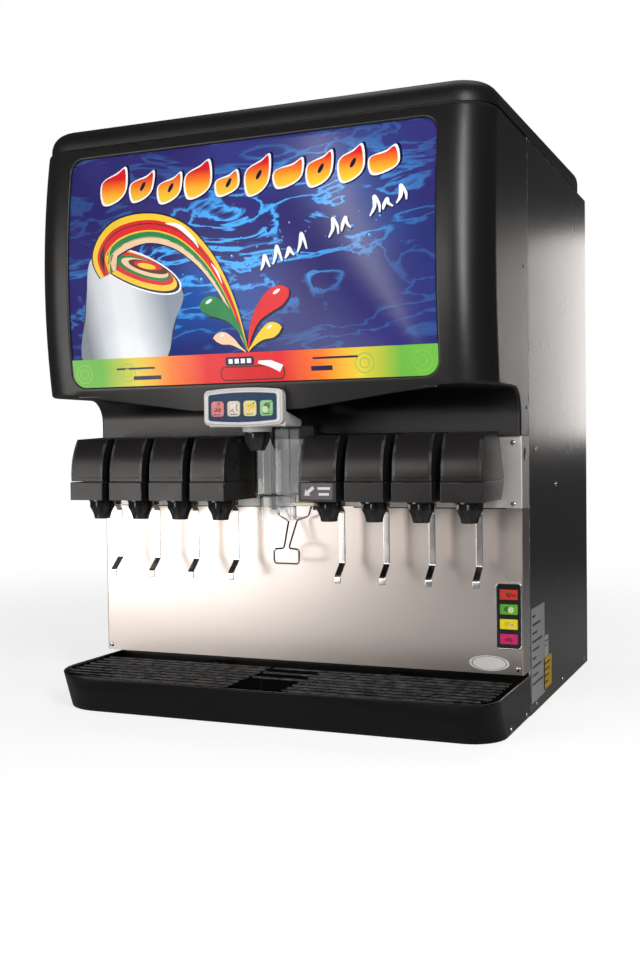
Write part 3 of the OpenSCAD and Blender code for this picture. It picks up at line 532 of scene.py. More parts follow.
def ring_faces(rings):
    """Faces between stacked rings of equal length, numbered one ring after the other."""
    n = len(rings[0])
    return [(r * n + k, r * n + (k + 1) % n, (r + 1) * n + (k + 1) % n, (r + 1) * n + k)
            for r in range(len(rings) - 1) for k in range(n)]


def lid_top(y):
    share = (y - lid_y[0] - lid_edge) / (lid_y[1] - lid_y[0] - lid_edge - 16)
    return lid_z[1] - lid_fall * (1 - min(max(share, 0), 1))


rings = []
for turn in [None] + spread(0, math.pi / 2, 8):
    inset = 0 if turn is None else lid_edge * (1 - math.cos(turn))
    plan = ordered(round_plan(half_w - inset, lid_y[0] + inset, lid_y[1] - inset, corner_r - inset,
                              33 - inset))
    rings.append([(x, y, lid_z[0] if turn is None else lid_top(y) - lid_edge * (1 - math.sin(turn)))
                  for x, y in plan])
lid_faces = ring_faces(rings) + [tuple(range(len(rings[0]) * (len(rings) - 1), len(rings[0]) * len(rings)))]
lid_black = finish("lid_black", (0.010, 0.0093, 0.0091), (0.008, 0.0075, 0.0073), 0.38, 0.05, grain=1100,
                   relief=0.3, cloud=5.0, wear_and_sheen=0.2, wear_and_sheen_colour=(0.05, 0.047, 0.045))
lid = add_mesh("lid_shell", [p for ring in rings for p in ring], lid_faces, lid_black)
place(shape_edges(lid, wall=3.5), "lid", "hood_plastic", "hopper_lid")
skirt = open_box("lid_skirt", (-329, 37, cab_h - 16), (329, lid_y[1] - 20, lid_z[1] - 14),
                 ["left", "right", "front", "rear"], lid_black, 6, 3)
place(skirt, "lid", "hood_plastic")

# ---------- graphic ----------
# A printed film on a curved acrylic sheet, lit from behind through the hood's window. The art is generic and
# made here: rainbow ribbon, splash and fruit over blue water, and a bright band along the foot.
graphic_gap = hood_wall + 0.2
sheet_half = 315.0


def draped(name, outline, material, lift=0.0, step=14.0):
    """A flat outline in window millimetres laid on the curved sheet, a little in front of it."""
    bm = bmesh.new()
    loop = [bm.verts.new((x, 0, z)) for x, z in outline]
    bmesh.ops.triangulate(bm, faces=[bm.faces.new(loop)], ngon_method="EAR_CLIP")
    z_lo, z_hi = min(p[1] for p in outline), max(p[1] for p in outline)
    z = (z_lo // step + 1) * step
    while z < z_hi:
        bmesh.ops.bisect_plane(bm, geom=bm.verts[:] + bm.edges[:] + bm.faces[:], dist=0.001,
                               plane_co=(0, 0, z), plane_no=(0, 0, 1))
        z += step
    for v in bm.verts:
        v.co = at(v.co.x, front_at(v.co.z) + graphic_gap - lift, v.co.z)
    bm.normal_update()
    for f in bm.faces:
        if f.normal.y > 0:
            f.normal_flip()
        f.smooth = True
    mesh = bpy.data.meshes.new(name)
    bm.to_mesh(mesh)
    bm.free()
    obj = bpy.data.objects.new(name, mesh)
    scene.collection.objects.link(obj)
    mesh.materials.append(material)
    return place(obj, "cabinet", "graphic_film")


def backlit(material, strength):
    """Lets a print's own colour glow from behind."""
    tree = material.node_tree
    shader = tree.nodes["Principled BSDF"]
    tree.links.new(shader.inputs["Base Color"].links[0].from_socket, shader.inputs["Emission Color"])
    shader.inputs["Emission Strength"].default_value = strength
    return material


def ink(name, colour, shade, strength=0.45, cloud=14.0):
    plain = finish(name, colour, shade, 0.3, 0.03, grain=700, relief=0.02, cloud=cloud,
                   Specular_IOR_Level=0.3)
    return backlit(plain, strength)


# Water: deep blue with a brighter current from the lower left to the upper right, crossed by thin light
# lines.
field = finish("print_water", (0.030, 0.026, 0.150), (0.020, 0.017, 0.110), 0.3, 0.03, grain=700, relief=0.01,
               cloud=5.0, Specular_IOR_Level=0.3)
f_nodes, f_links = field.node_tree.nodes, field.node_tree.links
f_coord = f_nodes.new("ShaderNodeTexCoord")
f_stretch = f_nodes.new("ShaderNodeMapping")
f_stretch.inputs["Rotation"].default_value = (0, math.radians(32), 0)
f_stretch.inputs["Scale"].default_value = (1.0, 1.0, 2.6)
f_wave = f_nodes.new("ShaderNodeTexNoise")
f_wave.inputs["Scale"].default_value = 6.5
f_wave.inputs["Detail"].default_value = 5.0
f_wave.inputs["Distortion"].default_value = 1.4
f_off = f_nodes.new("ShaderNodeMath")
f_off.operation = "SUBTRACT"
f_off.inputs[1].default_value = 0.5
f_line = f_nodes.new("ShaderNodeMath")
f_line.operation = "ABSOLUTE"
f_thin = ramp(f_nodes, 0.045, 0.0)
f_blob = f_nodes.new("ShaderNodeTexNoise")
f_blob.inputs["Scale"].default_value = 3.4
f_where = ramp(f_nodes, 0.42, 0.68)
f_current = f_nodes.new("ShaderNodeTexGradient")
f_current.gradient_type = "SPHERICAL"
f_place = f_nodes.new("ShaderNodeMapping")
f_place.vector_type = "TEXTURE"
f_place.inputs["Location"].default_value = at(-20, -255, 738)
f_place.inputs["Rotation"].default_value = (0, math.radians(-14), 0)
f_place.inputs["Scale"].default_value = (0.36, 9.0, 0.13)
f_glow = f_nodes.new("ShaderNodeMath")
f_glow.operation = "MULTIPLY_ADD"
f_glow.inputs[1].default_value = 1.5
f_glow.inputs[2].default_value = 0.15
f_amount = f_nodes.new("ShaderNodeMath")
f_amount.operation = "MULTIPLY"
f_share = f_nodes.new("ShaderNodeMath")
f_share.operation = "MULTIPLY"
f_mid = f_nodes.new("ShaderNodeMix")
f_mid.data_type = "RGBA"
f_mid.inputs[7].default_value = (0.008, 0.085, 0.36, 1)
f_pale = f_nodes.new("ShaderNodeMix")
f_pale.data_type = "RGBA"
f_pale.inputs[7].default_value = (0.06, 0.34, 0.80, 1)
f_shader = f_nodes["Principled BSDF"]
f_old = f_shader.inputs["Base Color"].links[0].from_socket
f_links.new(f_coord.outputs["Object"], f_stretch.inputs["Vector"])
f_links.new(f_stretch.outputs["Vector"], f_wave.inputs["Vector"])
f_links.new(f_wave.outputs["Fac"], f_off.inputs[0])
f_links.new(f_off.outputs["Value"], f_line.inputs[0])
f_links.new(f_line.outputs["Value"], f_thin.inputs["Value"])
f_links.new(f_coord.outputs["Object"], f_blob.inputs["Vector"])
f_links.new(f_blob.outputs["Fac"], f_where.inputs["Value"])
f_links.new(f_coord.outputs["Object"], f_place.inputs["Vector"])
f_links.new(f_place.outputs["Vector"], f_current.inputs["Vector"])
f_links.new(f_current.outputs["Fac"], f_glow.inputs[0])
f_links.new(f_glow.outputs["Value"], f_share.inputs[0])
f_links.new(f_where.outputs["Result"], f_share.inputs[1])
f_links.new(f_share.outputs["Value"], f_mid.inputs[0])
f_links.new(f_old, f_mid.inputs[6])
f_links.new(f_thin.outputs["Result"], f_amount.inputs[0])
f_links.new(f_glow.outputs["Value"], f_amount.inputs[1])
f_links.new(f_amount.outputs["Value"], f_pale.inputs[0])
f_links.new(f_mid.outputs[2], f_pale.inputs[6])
f_links.new(f_pale.outputs[2], f_shader.inputs["Base Color"])
backlit(field, 0.55)
sheet = draped("graphic_sheet", [(-sheet_half, 529), (sheet_half, 529), (sheet_half, 907),
                                 (-sheet_half, 907)], field)
thick = sheet.modifiers.new("wall", "SOLIDIFY")
thick.thickness, thick.offset = 2.5 * MM, -1.0
apply_modifiers(sheet)
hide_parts("graphic_panel")


def curve(points, steps=7):
    """A smooth closed outline through its points."""
    n = len(points)
    out = []
    for k in range(n):
        p = [Vector(points[(k + d) % n]) for d in (-1, 0, 1, 2)]
        for t in spread(0, 1, steps)[:-1]:
            v = 0.5 * (2 * p[1] + (p[2] - p[0]) * t + (2 * p[0] - 5 * p[1] + 4 * p[2] - p[3]) * t * t
                       + (3 * p[1] - p[0] - 3 * p[2] + p[3]) * t ** 3)
            out.append((v.x, v.y))
    return out


def ribbon(mid, side_a=-1.0, side_b=1.0, steps=8):
    """The outline of a band whose middle line is a list of (x, z, half width) stations, or of one
    stripe of it between two shares of its half width."""
    path = []
    for k in range(len(mid) - 1):
        p = [Vector(mid[min(max(k + d, 0), len(mid) - 1)]) for d in (-1, 0, 1, 2)]
        for t in spread(0, 1, steps)[:-1]:
            path.append(0.5 * (2 * p[1] + (p[2] - p[0]) * t + (2 * p[0] - 5 * p[1] + 4 * p[2] - p[3]) * t * t
                               + (3 * p[1] - p[0] - 3 * p[2] + p[3]) * t ** 3))
    path.append(Vector(mid[-1]))
    left, right = [], []
    for k, p in enumerate(path):
        along = (path[min(k + 1, len(path) - 1)] - path[max(k - 1, 0)]).xy.normalized()
        left.append((p.x - along.y * p.z * side_b, p.y + along.x * p.z * side_b))
        right.append((p.x - along.y * p.z * side_a, p.y + along.x * p.z * side_a))
    return left + right[::-1]


def disc(x, z, rx, rz=None, sides=28, turn=0.0):
    c, s = math.cos(turn), math.sin(turn)
    flat = [(rx * math.cos(t), (rz or rx) * math.sin(t))
            for t in (math.tau * k / sides for k in range(sides))]
    return [(x + px * c - pz * s, z + px * s + pz * c) for px, pz in flat]


def graded(name, start, end, stops, strength=0.45):
    """A print whose colour runs from one place to another through evenly spaced stops."""
    material = finish(name, stops[0], stops[0], 0.3, 0.03, grain=700, relief=0.02, Specular_IOR_Level=0.3)
    nodes, links = material.node_tree.nodes, material.node_tree.links
    run = Vector(end) - Vector(start)
    coord = nodes.new("ShaderNodeTexCoord")
    project = nodes.new("ShaderNodeVectorMath")
    project.operation = "DOT_PRODUCT"
    project.inputs[1].default_value = (run.x, 0, run.y)
    span = nodes.new("ShaderNodeMapRange")
    span.inputs["From Min"].default_value = Vector(start).dot(run) * MM
    span.inputs["From Max"].default_value = Vector(end).dot(run) * MM
    colours = nodes.new("ShaderNodeValToRGB")
    for k, stop in enumerate(stops):
        share = k / (len(stops) - 1)
        elements = colours.color_ramp.elements
        slot = elements.new(share) if 0 < share < 1 else elements[0 if k == 0 else -1]
        slot.color = (*stop, 1)
    mix = nodes["Mix"]
    dull = nodes.new("ShaderNodeHueSaturation")
    dull.inputs["Value"].default_value = 0.86
    links.new(coord.outputs["Object"], project.inputs[0])
    links.new(project.outputs["Value"], span.inputs["Value"])
    links.new(span.outputs["Result"], colours.inputs["Fac"])
    links.new(colours.outputs["Color"], mix.inputs[7])
    links.new(colours.outputs["Color"], dull.inputs["Color"])
    links.new(dull.outputs["Color"], mix.inputs[6])
    return backlit(material, strength)


red, orange, yellow, lime = (0.60, 0.012, 0.018), (0.80, 0.16, 0.015), (0.80, 0.55, 0.04), (0.13, 0.42, 0.05)
inks = {"white": ink("print_white", (0.80, 0.81, 0.84), (0.72, 0.74, 0.80), 0.4),
        "red": ink("print_red", red, (0.52, 0.010, 0.015)),
        "yellow": ink("print_yellow", (0.74, 0.50, 0.03), (0.68, 0.43, 0.02)),
        "green": ink("print_green", (0.010, 0.20, 0.055), (0.008, 0.15, 0.04)),
        "cream": ink("print_cream", (0.72, 0.50, 0.32), (0.66, 0.44, 0.27)),
        "brown": ink("print_brown", (0.10, 0.025, 0.012), (0.07, 0.018, 0.01), 0.3),
        "shadow": ink("print_shadow", (0.006, 0.008, 0.05), (0.004, 0.006, 0.035), 0.2),
        "bubble": ink("print_bubble", (0.03, 0.20, 0.55), (0.02, 0.13, 0.42), 0.4),
        "faint": ink("print_faint", (0.24, 0.46, 0.10), (0.20, 0.40, 0.08), 0.4),
        "rose": ink("print_rose", (0.66, 0.10, 0.05), (0.6, 0.08, 0.04), 0.4),
        "title": graded("print_title", (0, 822), (0, 876), [yellow, (0.82, 0.40, 0.03), orange, red, red]),
        "silver": graded("print_silver", (-280, 640), (-128, 664),
                         [(0.16, 0.18, 0.21), (0.50, 0.54, 0.58), (0.72, 0.74, 0.77), (0.70, 0.72, 0.75),
                          (0.42, 0.46, 0.50), (0.20, 0.24, 0.30)]),
        "band": graded("print_band", (-sheet_half, 555), (sheet_half, 555),
                       [lime, lime, (0.62, 0.52, 0.05), orange, red, red, red, orange, (0.70, 0.55, 0.04),
                        lime, lime])}

# a lively row of plump leaves where a title would stand, shaded from yellow at the foot to red at the top
leaves = 10
for k in range(leaves):
    x, lean = -226 + 50.5 * k, 7 + 3 * math.sin(1.3 * k)
    tall = 44 + 11 * math.sin(2.6 * k + 0.8)
    z0 = 826 - 6 * math.sin(math.pi * k / (leaves - 1)) + 3 * math.sin(2.3 * k)
    wide = 19 + 2 * math.cos(2.1 * k)
    for grow, shade, lift in ((4.6, "shadow", 0.2), (3.0, "white", 0.4), (0, "title", 0.6)):
        x1, g = x + (2 if shade == "shadow" else 0), grow
        leaf = curve([(x1 - wide * 0.75 - g, z0 - g), (x1 + wide * 0.35, z0 + 3 - g),
                      (x1 + wide + g, z0 + tall * 0.36), (x1 + wide * 0.55 + lean + g, z0 + tall + g),
                      (x1 - wide * 0.1 + lean, z0 + tall - 7 + g),
                      (x1 - wide - g * 0.8, z0 + tall * 0.62)], 5)
        draped(f"leaf_{k}_{shade}", leaf, inks[shade], lift)
    eye = disc(x + 3, z0 + tall * 0.5, 3.2, 8, 14, -0.5)
    draped(f"leaf_{k}_eye", eye, inks["shadow" if k % 3 else "title"], 0.8)

# a tilted silver cup whose striped drink leaps up and over, then thins to a point
stream = [(-232, 712, 15), (-240, 742, 20), (-213, 770, 25), (-160, 779, 22), (-108, 764, 19.5),
          (-66, 730, 15), (-36, 690, 11), (-12, 642, 7), (8, 582, 1.2)]
mouth = (-181, 715)
splash_shapes = [("cup_shade", [(-266, 744), (-96, 682), (-132, 572), (-292, 572)], "shadow", 0.2),
                 ("cup", curve([(-262, 742), (-182, 728), (-101, 681), (-118, 626), (-138, 574),
                                (-212, 570), (-287, 576), (-275, 660)], 6), "silver", 0.3),
                 ("mouth_rim", disc(*mouth, 86, 27, 40, -0.40), "white", 0.4),
                 ("mouth_shade", disc(*mouth, 83, 24.5, 40, -0.40), "shadow", 0.5),
                 ("mouth_yellow", disc(-183, 717, 80, 23, 40, -0.40), "yellow", 0.6),
                 ("mouth_red", disc(-178, 719, 68, 18.5, 36, -0.38), "red", 0.7),
                 ("mouth_green", disc(-170, 718, 54, 14, 32, -0.36), "green", 0.8),
                 ("mouth_cream", disc(-166, 718, 45, 11, 30, -0.34), "cream", 0.9),
                 ("mouth_brown", disc(-160, 719, 37, 8.2, 28, -0.30), "brown", 1.0),
                 ("swirl_red", disc(-160, 721, 26, 6.2, 26, -0.24), "red", 1.1),
                 ("swirl_yellow", disc(-162, 720, 17, 4.2, 22, -0.24), "yellow", 1.2),
                 ("stream_edge", ribbon(stream, -1.14, 1.18), "shadow", 1.3),
                 ("stream_yellow", ribbon(stream, 0.52, 1.06), "yellow", 1.5),
                 ("stream_red", ribbon(stream, -0.16, 0.60), "red", 1.6),
                 ("stream_line", ribbon(stream, 0.30, 0.38), "brown", 1.7),
                 ("stream_gold", ribbon(stream, -0.24, -0.12), "yellow", 1.7),
                 ("stream_green", ribbon(stream, -0.66, -0.22), "green", 1.7),
                 ("stream_cream", ribbon(stream, -1.04, -0.60), "cream", 1.7),
                 ("gleam_top", ribbon([(-128, 784, 0.6), (-104, 777, 3.4), (-80, 756, 2.6),
                                       (-70, 742, 0.5)]), "white", 1.9),
                 ("gleam_low", ribbon([(-48, 716, 0.5), (-38, 702, 1.8), (-30, 684, 0.4)]), "white", 1.9)]
# drops that leap from the point, each a tail with a round head
drops = [("green", [(6, 582, 0.8), (0, 606, 2.6), (-16, 630, 7), (-36, 646, 13.5), (-52, 652, 15),
                    (-66, 652, 8), (-70, 652, 0.5)]),
         ("red", [(10, 582, 0.8), (14, 604, 3), (26, 630, 7.5), (46, 650, 14), (62, 660, 15.5),
                  (76, 666, 9), (81, 668, 0.5)]),
         ("yellow", [(9, 580, 0.8), (18, 590, 2.4), (32, 602, 6.5), (48, 610, 11.5), (60, 613, 8),
                     (67, 614, 0.5)]),
         ("cream", [(5, 580, 0.8), (-6, 588, 2.4), (-18, 597, 6), (-32, 602, 9.5), (-43, 603, 6),
                    (-49, 603, 0.5)])]
for k, (shade, path) in enumerate(drops):
    splash_shapes.append((f"drop_{shade}_shade", [(x + 1.6, z - 2) for x, z in ribbon(path, -1.1, 1.1)],
                          "shadow", 0.6))
    splash_shapes.append((f"drop_{shade}", ribbon(path), shade, 1.9))
    x, z, r = path[4] if k < 2 else path[3]
    splash_shapes.append((f"drop_{shade}_gleam",
                          disc(x - r * 0.1, z + r * 0.45, r * 0.42, r * 0.16, 14, 0.5), "white", 2.1))
for name, outline, shade, lift in splash_shapes:
    draped(name, outline, inks[shade], lift)

# brisk white strokes rising to the right where a slogan would stand
for group, (x0, z0, count) in enumerate([(40, 698, 4), (150, 738, 2), (214, 764, 3)]):
    for k in range(count):
        x, z = x0 + 20 * k, z0 + 7.5 * k
        tall = 24 + 7 * math.sin(2.4 * k + group)
        lean = 3 * math.sin(3.1 * k + group)
        path = [(x - 5, z + 2, 1.2), (x - 1 + lean, z + tall * 0.5, 2.7), (x + 1, z + tall, 2.4),
                (x + 6 + lean, z + tall * 0.6, 2.2), (x + 10, z + 6, 1.2)]
        draped(f"stroke_{group}_{k}_shade", [(a + 1.8, b - 2) for a, b in ribbon(path, -1.15, 1.15)],
               inks["shadow"], 0.3)
        draped(f"stroke_{group}_{k}", ribbon(path), inks["white"], 0.5)

# bubbles in the current, and the coloured band along the foot with a blank rounded button
for k in range(46):
    x = -225 + 470 * ((k * 0.618) % 1)
    z = 730 + 0.16 * x + 62 * (((k * 0.414 + 0.1) % 1) - 0.5)
    r = 1.0 + 2.6 * ((k * 0.754) % 1) ** 2
    draped(f"bubble_{k}", disc(x, z, r, sides=12), inks["bubble"], 0.1)
    draped(f"bubble_gleam_{k}", disc(x - r * 0.3, z + r * 0.35, r * 0.32, sides=6), inks["white"], 0.15)
band_top = 579
draped("band", [(-sheet_half, 529), (sheet_half, 529), (sheet_half, band_top), (-sheet_half, band_top)],
       inks["band"], 2.2)
for k, (x, shade) in enumerate([(-286, "faint"), (-206, "faint"), (-96, "rose"), (96, "rose"),
                                (196, "faint"), (284, "faint")]):
    for m, r in enumerate((15, 8)):
        draped(f"band_ring_{k}_{m}", disc(x, 556, r, sides=24), inks[shade], 2.25 + 0.1 * m)
        draped(f"band_hole_{k}_{m}", disc(x, 556, r - 1.4, sides=24), inks["band"], 2.3 + 0.1 * m)
for k, (x, wide, z, tall) in enumerate([(-190, 70, 562, 3), (-170, 50, 547, 6), (150, 72, 566, 3),
                                        (128, 34, 551, 7)]):
    bar = [(x + a * wide / 2, z + b * tall / 2) for a, b in ((-1, -1), (1, -1), (1, 1), (-1, 1))]
    draped(f"band_bar_{k}", bar, inks["shadow"], 2.4)
for lift, grow, shade in ((2.3, 2.2, "brown"), (2.4, 0, "red")):
    plan = ordered(round_plan(52 + grow, 539 - grow, 557 + grow, 7 + grow, 7 + grow, 5))
    draped("button_" + shade, [(x + 14, z) for x, z in plan], inks[shade], lift)
draped("button_block", ordered([(x - 6, z) for x, z in round_plan(24, 560, 573, 3, 3, 3)]), inks["shadow"],
       2.5)
for k in range(4):
    draped(f"button_key_{k}", [(x - 21.5 + 10.4 * k, z)
                               for x, z in ((-3.6, 563), (3.6, 563), (3.6, 570), (-3.6, 570))],
           inks["white"], 2.6)
draped("button_arrow", [(24, 562), (44, 556), (60, 548), (66, 558), (46, 566), (26, 566)], inks["white"], 2.7)

# ---------- lamps and ice store ----------
# Two fluorescent tubes in a white tray light the graphic. Behind them a white plastic bin stands in
# poured foam, with a finned cold plate on its floor and a stirring shaft that a gearmotor turns.
dress(finish("tray_white", (0.82, 0.83, 0.82), (0.76, 0.77, 0.76), 0.4, grain=1200, relief=0.05),
      "light_reflector")
dress(finish("tube_glass", (0.86, 0.85, 0.80), (0.80, 0.79, 0.75), 0.2, 0.03, relief=0.02), "lamp_tubes")
dress(finish("bin_plastic", (0.70, 0.70, 0.67), (0.64, 0.64, 0.61), 0.35, grain=1200, relief=0.06), "ice_bin")
dress(finish("poured_foam", (0.72, 0.62, 0.38), (0.62, 0.52, 0.30), 0.85, 0.08, grain=380, relief=0.5,
             cloud=20), "bin_insulation")
dress(finish("cast_aluminium", (0.60, 0.61, 0.62), (0.50, 0.51, 0.52), 0.42, 0.08, grain=500, relief=0.2,
             Metallic=1.0), "cold_plate")
dress(finish("shaft_steel", (0.66, 0.66, 0.66), (0.58, 0.58, 0.58), 0.24, grain=300, relief=0.04,
             stretch=(6, 0.3, 6), Metallic=1.0), "agitator", "ice_gate")
dress(finish("nylon", (0.70, 0.68, 0.62), (0.63, 0.61, 0.55), 0.45, relief=0.08), "agitator_bushings")
dress(finish("motor_enamel", (0.07, 0.08, 0.09), (0.05, 0.055, 0.065), 0.38, relief=0.12), "gearmotor")
dress(finish("duct_black", (0.022, 0.022, 0.022), (0.017, 0.017, 0.017), 0.45, relief=0.2), "ice_duct")
dress(finish("brass", (0.60, 0.40, 0.15), (0.48, 0.30, 0.10), 0.3, 0.08, grain=400, relief=0.05,
             Metallic=1.0), "inlet_fittings")
dress(finish("box_zinc", (0.45, 0.46, 0.47), (0.36, 0.37, 0.38), 0.42, 0.1, grain=260, relief=0.05, cloud=60,
             Metallic=1.0), "control_box")
dress(finish("rubber", (0.02, 0.02, 0.021), (0.014, 0.014, 0.015), 0.7, relief=0.3), "cord_gland")
dress(finish("drain_plastic", (0.13, 0.135, 0.14), (0.10, 0.105, 0.11), 0.45, relief=0.15), "drain_fitting")

# ---------- valve covers ----------
# Eight snap-on covers moulded in charcoal plastic. Each is an open-backed shell in two tiers with a
# groove between them, a slightly raised front panel and a thumb dimple near the top.
cover_half, groove = 31.5, (380.6, 381.8)
cover_front, bow = -193.5, (-87.2, 391.0, 104.0)
cover_grey = finish("cover_charcoal", (0.017, 0.0155, 0.0152), (0.014, 0.0128, 0.0126), 0.30, 0.03,
                    grain=1300, relief=0.05, cloud=12.0, wear_and_sheen=0.5, wear_and_sheen_colour=(0.16, 0.155, 0.15),
                    Specular_IOR_Level=0.36)
valve_boxes = [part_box(f"valve_cover_{n}") for n in range(1, 9)]
valve_x = [(low.x + high.x) / 2 / MM for low, high in valve_boxes]


def bow_at(angle, grow=0.0):
    a = math.radians(angle)
    return (bow[0] + (bow[2] + grow) * math.cos(a), bow[1] + (bow[2] + grow) * math.sin(a))


front_line = [bow_at(a) for a in spread(185.0, 144, 12)]
top_line = [(-94, 456), (-90, 455.4), (-79, 445)]
cover_side = [(front_line[0][0], groove[1])] + front_line[1:] + top_line + [(-53.5, groove[1])]
for number, x in enumerate(valve_x, 1):
    points, faces, known = [], [], {}
    panel_x, upper = 26.5, cover_half - 0.8
    for sign in (-1, 1):
        face(*[(x + sign * upper, y, z) for y, z in cover_side])
    count = len(front_line) + len(top_line) - 1
    for k in range(count):
        (y0, z0), (y1, z1) = cover_side[k], cover_side[k + 1]
        if 0 < k < 11:
            lift = 1.0
            o0, o1 = ((y + (y - bow[0]) * lift / bow[2], z + (z - bow[1]) * lift / bow[2])
                      for y, z in ((y0, z0), (y1, z1)))
            for sign in (-1, 1):
                face((x + sign * upper, y0, z0), (x + sign * panel_x, y0, z0), (x + sign * panel_x, y1, z1),
                     (x + sign * upper, y1, z1))
                face((x + sign * panel_x, y0, z0), (x + sign * (panel_x - 1), *o0),
                     (x + sign * (panel_x - 1), *o1), (x + sign * panel_x, y1, z1))
            face((x - panel_x + 1, *o0), (x + panel_x - 1, *o0), (x + panel_x - 1, *o1),
                 (x - panel_x + 1, *o1))
            for (y, z), o, end in (((y0, z0), o0, k == 1), ((y1, z1), o1, k == 10)):
                if end:
                    face((x - panel_x, y, z), (x + panel_x, y, z), (x + panel_x - 1, *o),
                         (x - panel_x + 1, *o))
        else:
            cuts = [-upper, -panel_x, panel_x, upper]
            for a, b in zip(cuts, cuts[1:]):
                face((x + a, y0, z0), (x + b, y0, z0), (x + b, y1, z1), (x + a, y1, z1))
    shell = add_mesh(f"valve_{number}_cover", points, faces, cover_grey)
    shape_edges(shell, 1.3, 3, 1.9, 50)
    place(shell, "cabinet", "cover_grey", f"valve_cover_{number}")
    foot_z = 350.5
    band_points = [(x + s * cover_half, y, z) for s in (-1, 1)
                   for y, z in ((cover_front, foot_z), (cover_front, groove[0]), (-55.5, groove[0]),
                                (-75, foot_z))]
    skirt = add_mesh(f"valve_{number}_skirt", band_points,
                     [(0, 1, 2, 3), (4, 7, 6, 5), (0, 4, 5, 1), (1, 5, 6, 2)], cover_grey)
    place(shape_edges(skirt, 1.6, 3, 2.0, 50), "cabinet", "cover_grey")
    thumb, rise = Vector(bow_at(151, 0.05)), math.radians(61)
    slope = Vector((math.cos(rise), math.sin(rise)))
    dimple = [(x + 7.5 * math.cos(t), *(thumb + slope * 4.2 * math.sin(t)))
              for t in (math.tau * k / 24 for k in range(24))]
    ring_in = [(x + (px - x) * 0.8, thumb.x + (py - thumb.x) * 0.8 - 0.65,
                thumb.y + (pz - thumb.y) * 0.8 + 0.5) for px, py, pz in dimple]
    lens = add_mesh(f"valve_{number}_thumb", dimple + ring_in,
                    ring_faces([dimple, ring_in]) + [tuple(range(24, 48))], cover_grey)
    place(settle(lens), "cabinet", "cover_grey")

# ---------- valve bodies and nozzles ----------
# The metal and plastic works under each cover stay as they are in the CAD. Each nozzle is a turned black
# moulding that tapers in steps, with eight grip flutes round it.
dress(finish("valve_grey", (0.10, 0.10, 0.105), (0.075, 0.075, 0.08), 0.42, relief=0.1), "valve_bodies")
nozzle_y, nozzle_z = -145.0, (317.5, 350.0)
gloss_black = finish("nozzle_black", (0.018, 0.018, 0.019), (0.013, 0.013, 0.014), 0.17, 0.04, grain=900,
                     relief=0.04, cloud=25.0, wear_and_sheen=0.2, wear_and_sheen_colour=(0.06, 0.06, 0.06))


def turned(name, x, y, z, profile, flutes, deep, material, sides=48):
    """A turned moulding with flutes, from (radius, height, cut) stations round its outside and bore."""
    rings = []
    for r, h, cut in profile:
        ring = []
        for k in range(sides):
            t = math.tau * k / sides
            groove_in = cut * deep * (0.5 - 0.5 * math.cos(flutes * t)) ** 0.7
            ring.append((x + (r - groove_in) * math.cos(t), y + (r - groove_in) * math.sin(t), z + h))
        rings.append(ring)
    last = len(rings) - 1
    cap = [tuple(range(last * sides, (last + 1) * sides))]
    obj = add_mesh(name, [p for ring in rings for p in ring], ring_faces(rings) + cap, material)
    return shape_edges(obj, 0.0, 1, 0, 36)


nozzle_shape = [(9.0, 28, 0), (10.0, 26, 0), (10.0, 0.4, 0), (10.4, 0, 0), (12.5, 0, 0), (13.1, 0.6, 0),
                (14.6, 6.5, 0.5), (16.4, 11.6, 1), (20.2, 18.6, 1), (20.9, 20, 1), (20.9, 28.2, 1),
                (21.2, 29.2, 0.1), (21.9, 29.7, 0), (21.9, 32.2, 0), (21.5, 32.5, 0), (12, 32.5, 0)]
for number, x in enumerate(valve_x, 1):
    nozzle = turned(f"nozzle_{number}", x, nozzle_y, nozzle_z[0], nozzle_shape, 10, 3.0, gloss_black)
    place(nozzle, "cabinet", "nozzle_black")
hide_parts("valve_nozzles")

# ---------- cup levers ----------
# Bent stainless strips, one behind each nozzle on a cross pin. The jog near the foot brings the pad
# forward to meet the cup, and the polished faces catch the light.
polished = finish("polished_strip", (0.86, 0.83, 0.81), (0.80, 0.77, 0.75), 0.22, 0.04, grain=500,
                  relief=0.01, cloud=20.0, stretch=(8, 0.5, 0.5), wear_and_sheen=0.3, wear_and_sheen_colour=(0.9, 0.88, 0.86),
                  Metallic=1.0)
lever_line = [(-108, 346), (-104.6, 343.2), (-92.5, 333), (-90.6, 330.6), (-90, 327.5), (-90, 249),
              (-90.5, 246.4), (-92, 244.4), (-109.2, 229.6), (-111.2, 227.2), (-112, 224.2), (-112, 216)]


def strip_piece(name, x, line, width, thick, material):
    """A flat strip swept along a bent line in a side view, with softly rounded edges."""
    points, faces = [], []
    for k, (y, z) in enumerate(line):
        a, b = Vector(line[max(k - 1, 0)]), Vector(line[min(k + 1, len(line) - 1)])
        along = (b - a).normalized()
        side = Vector((-along.y, along.x)) * thick / 2
        for s in (1, -1):
            points += [(x - width / 2, y + s * side.x, z + s * side.y),
                       (x + width / 2, y + s * side.x, z + s * side.y)]
    for k in range(len(line) - 1):
        a, b = 4 * k, 4 * k + 4
        faces += [(a, a + 1, b + 1, b), (a + 2, b + 2, b + 3, a + 3), (a, b, b + 2, a + 2),
                  (a + 1, a + 3, b + 3, b + 1)]
    end = 4 * (len(line) - 1)
    faces += [(0, 2, 3, 1), (end, end + 1, end + 3, end + 2)]
    return shape_edges(add_mesh(name, points, faces, material), 1.0, 3, 0, 30)


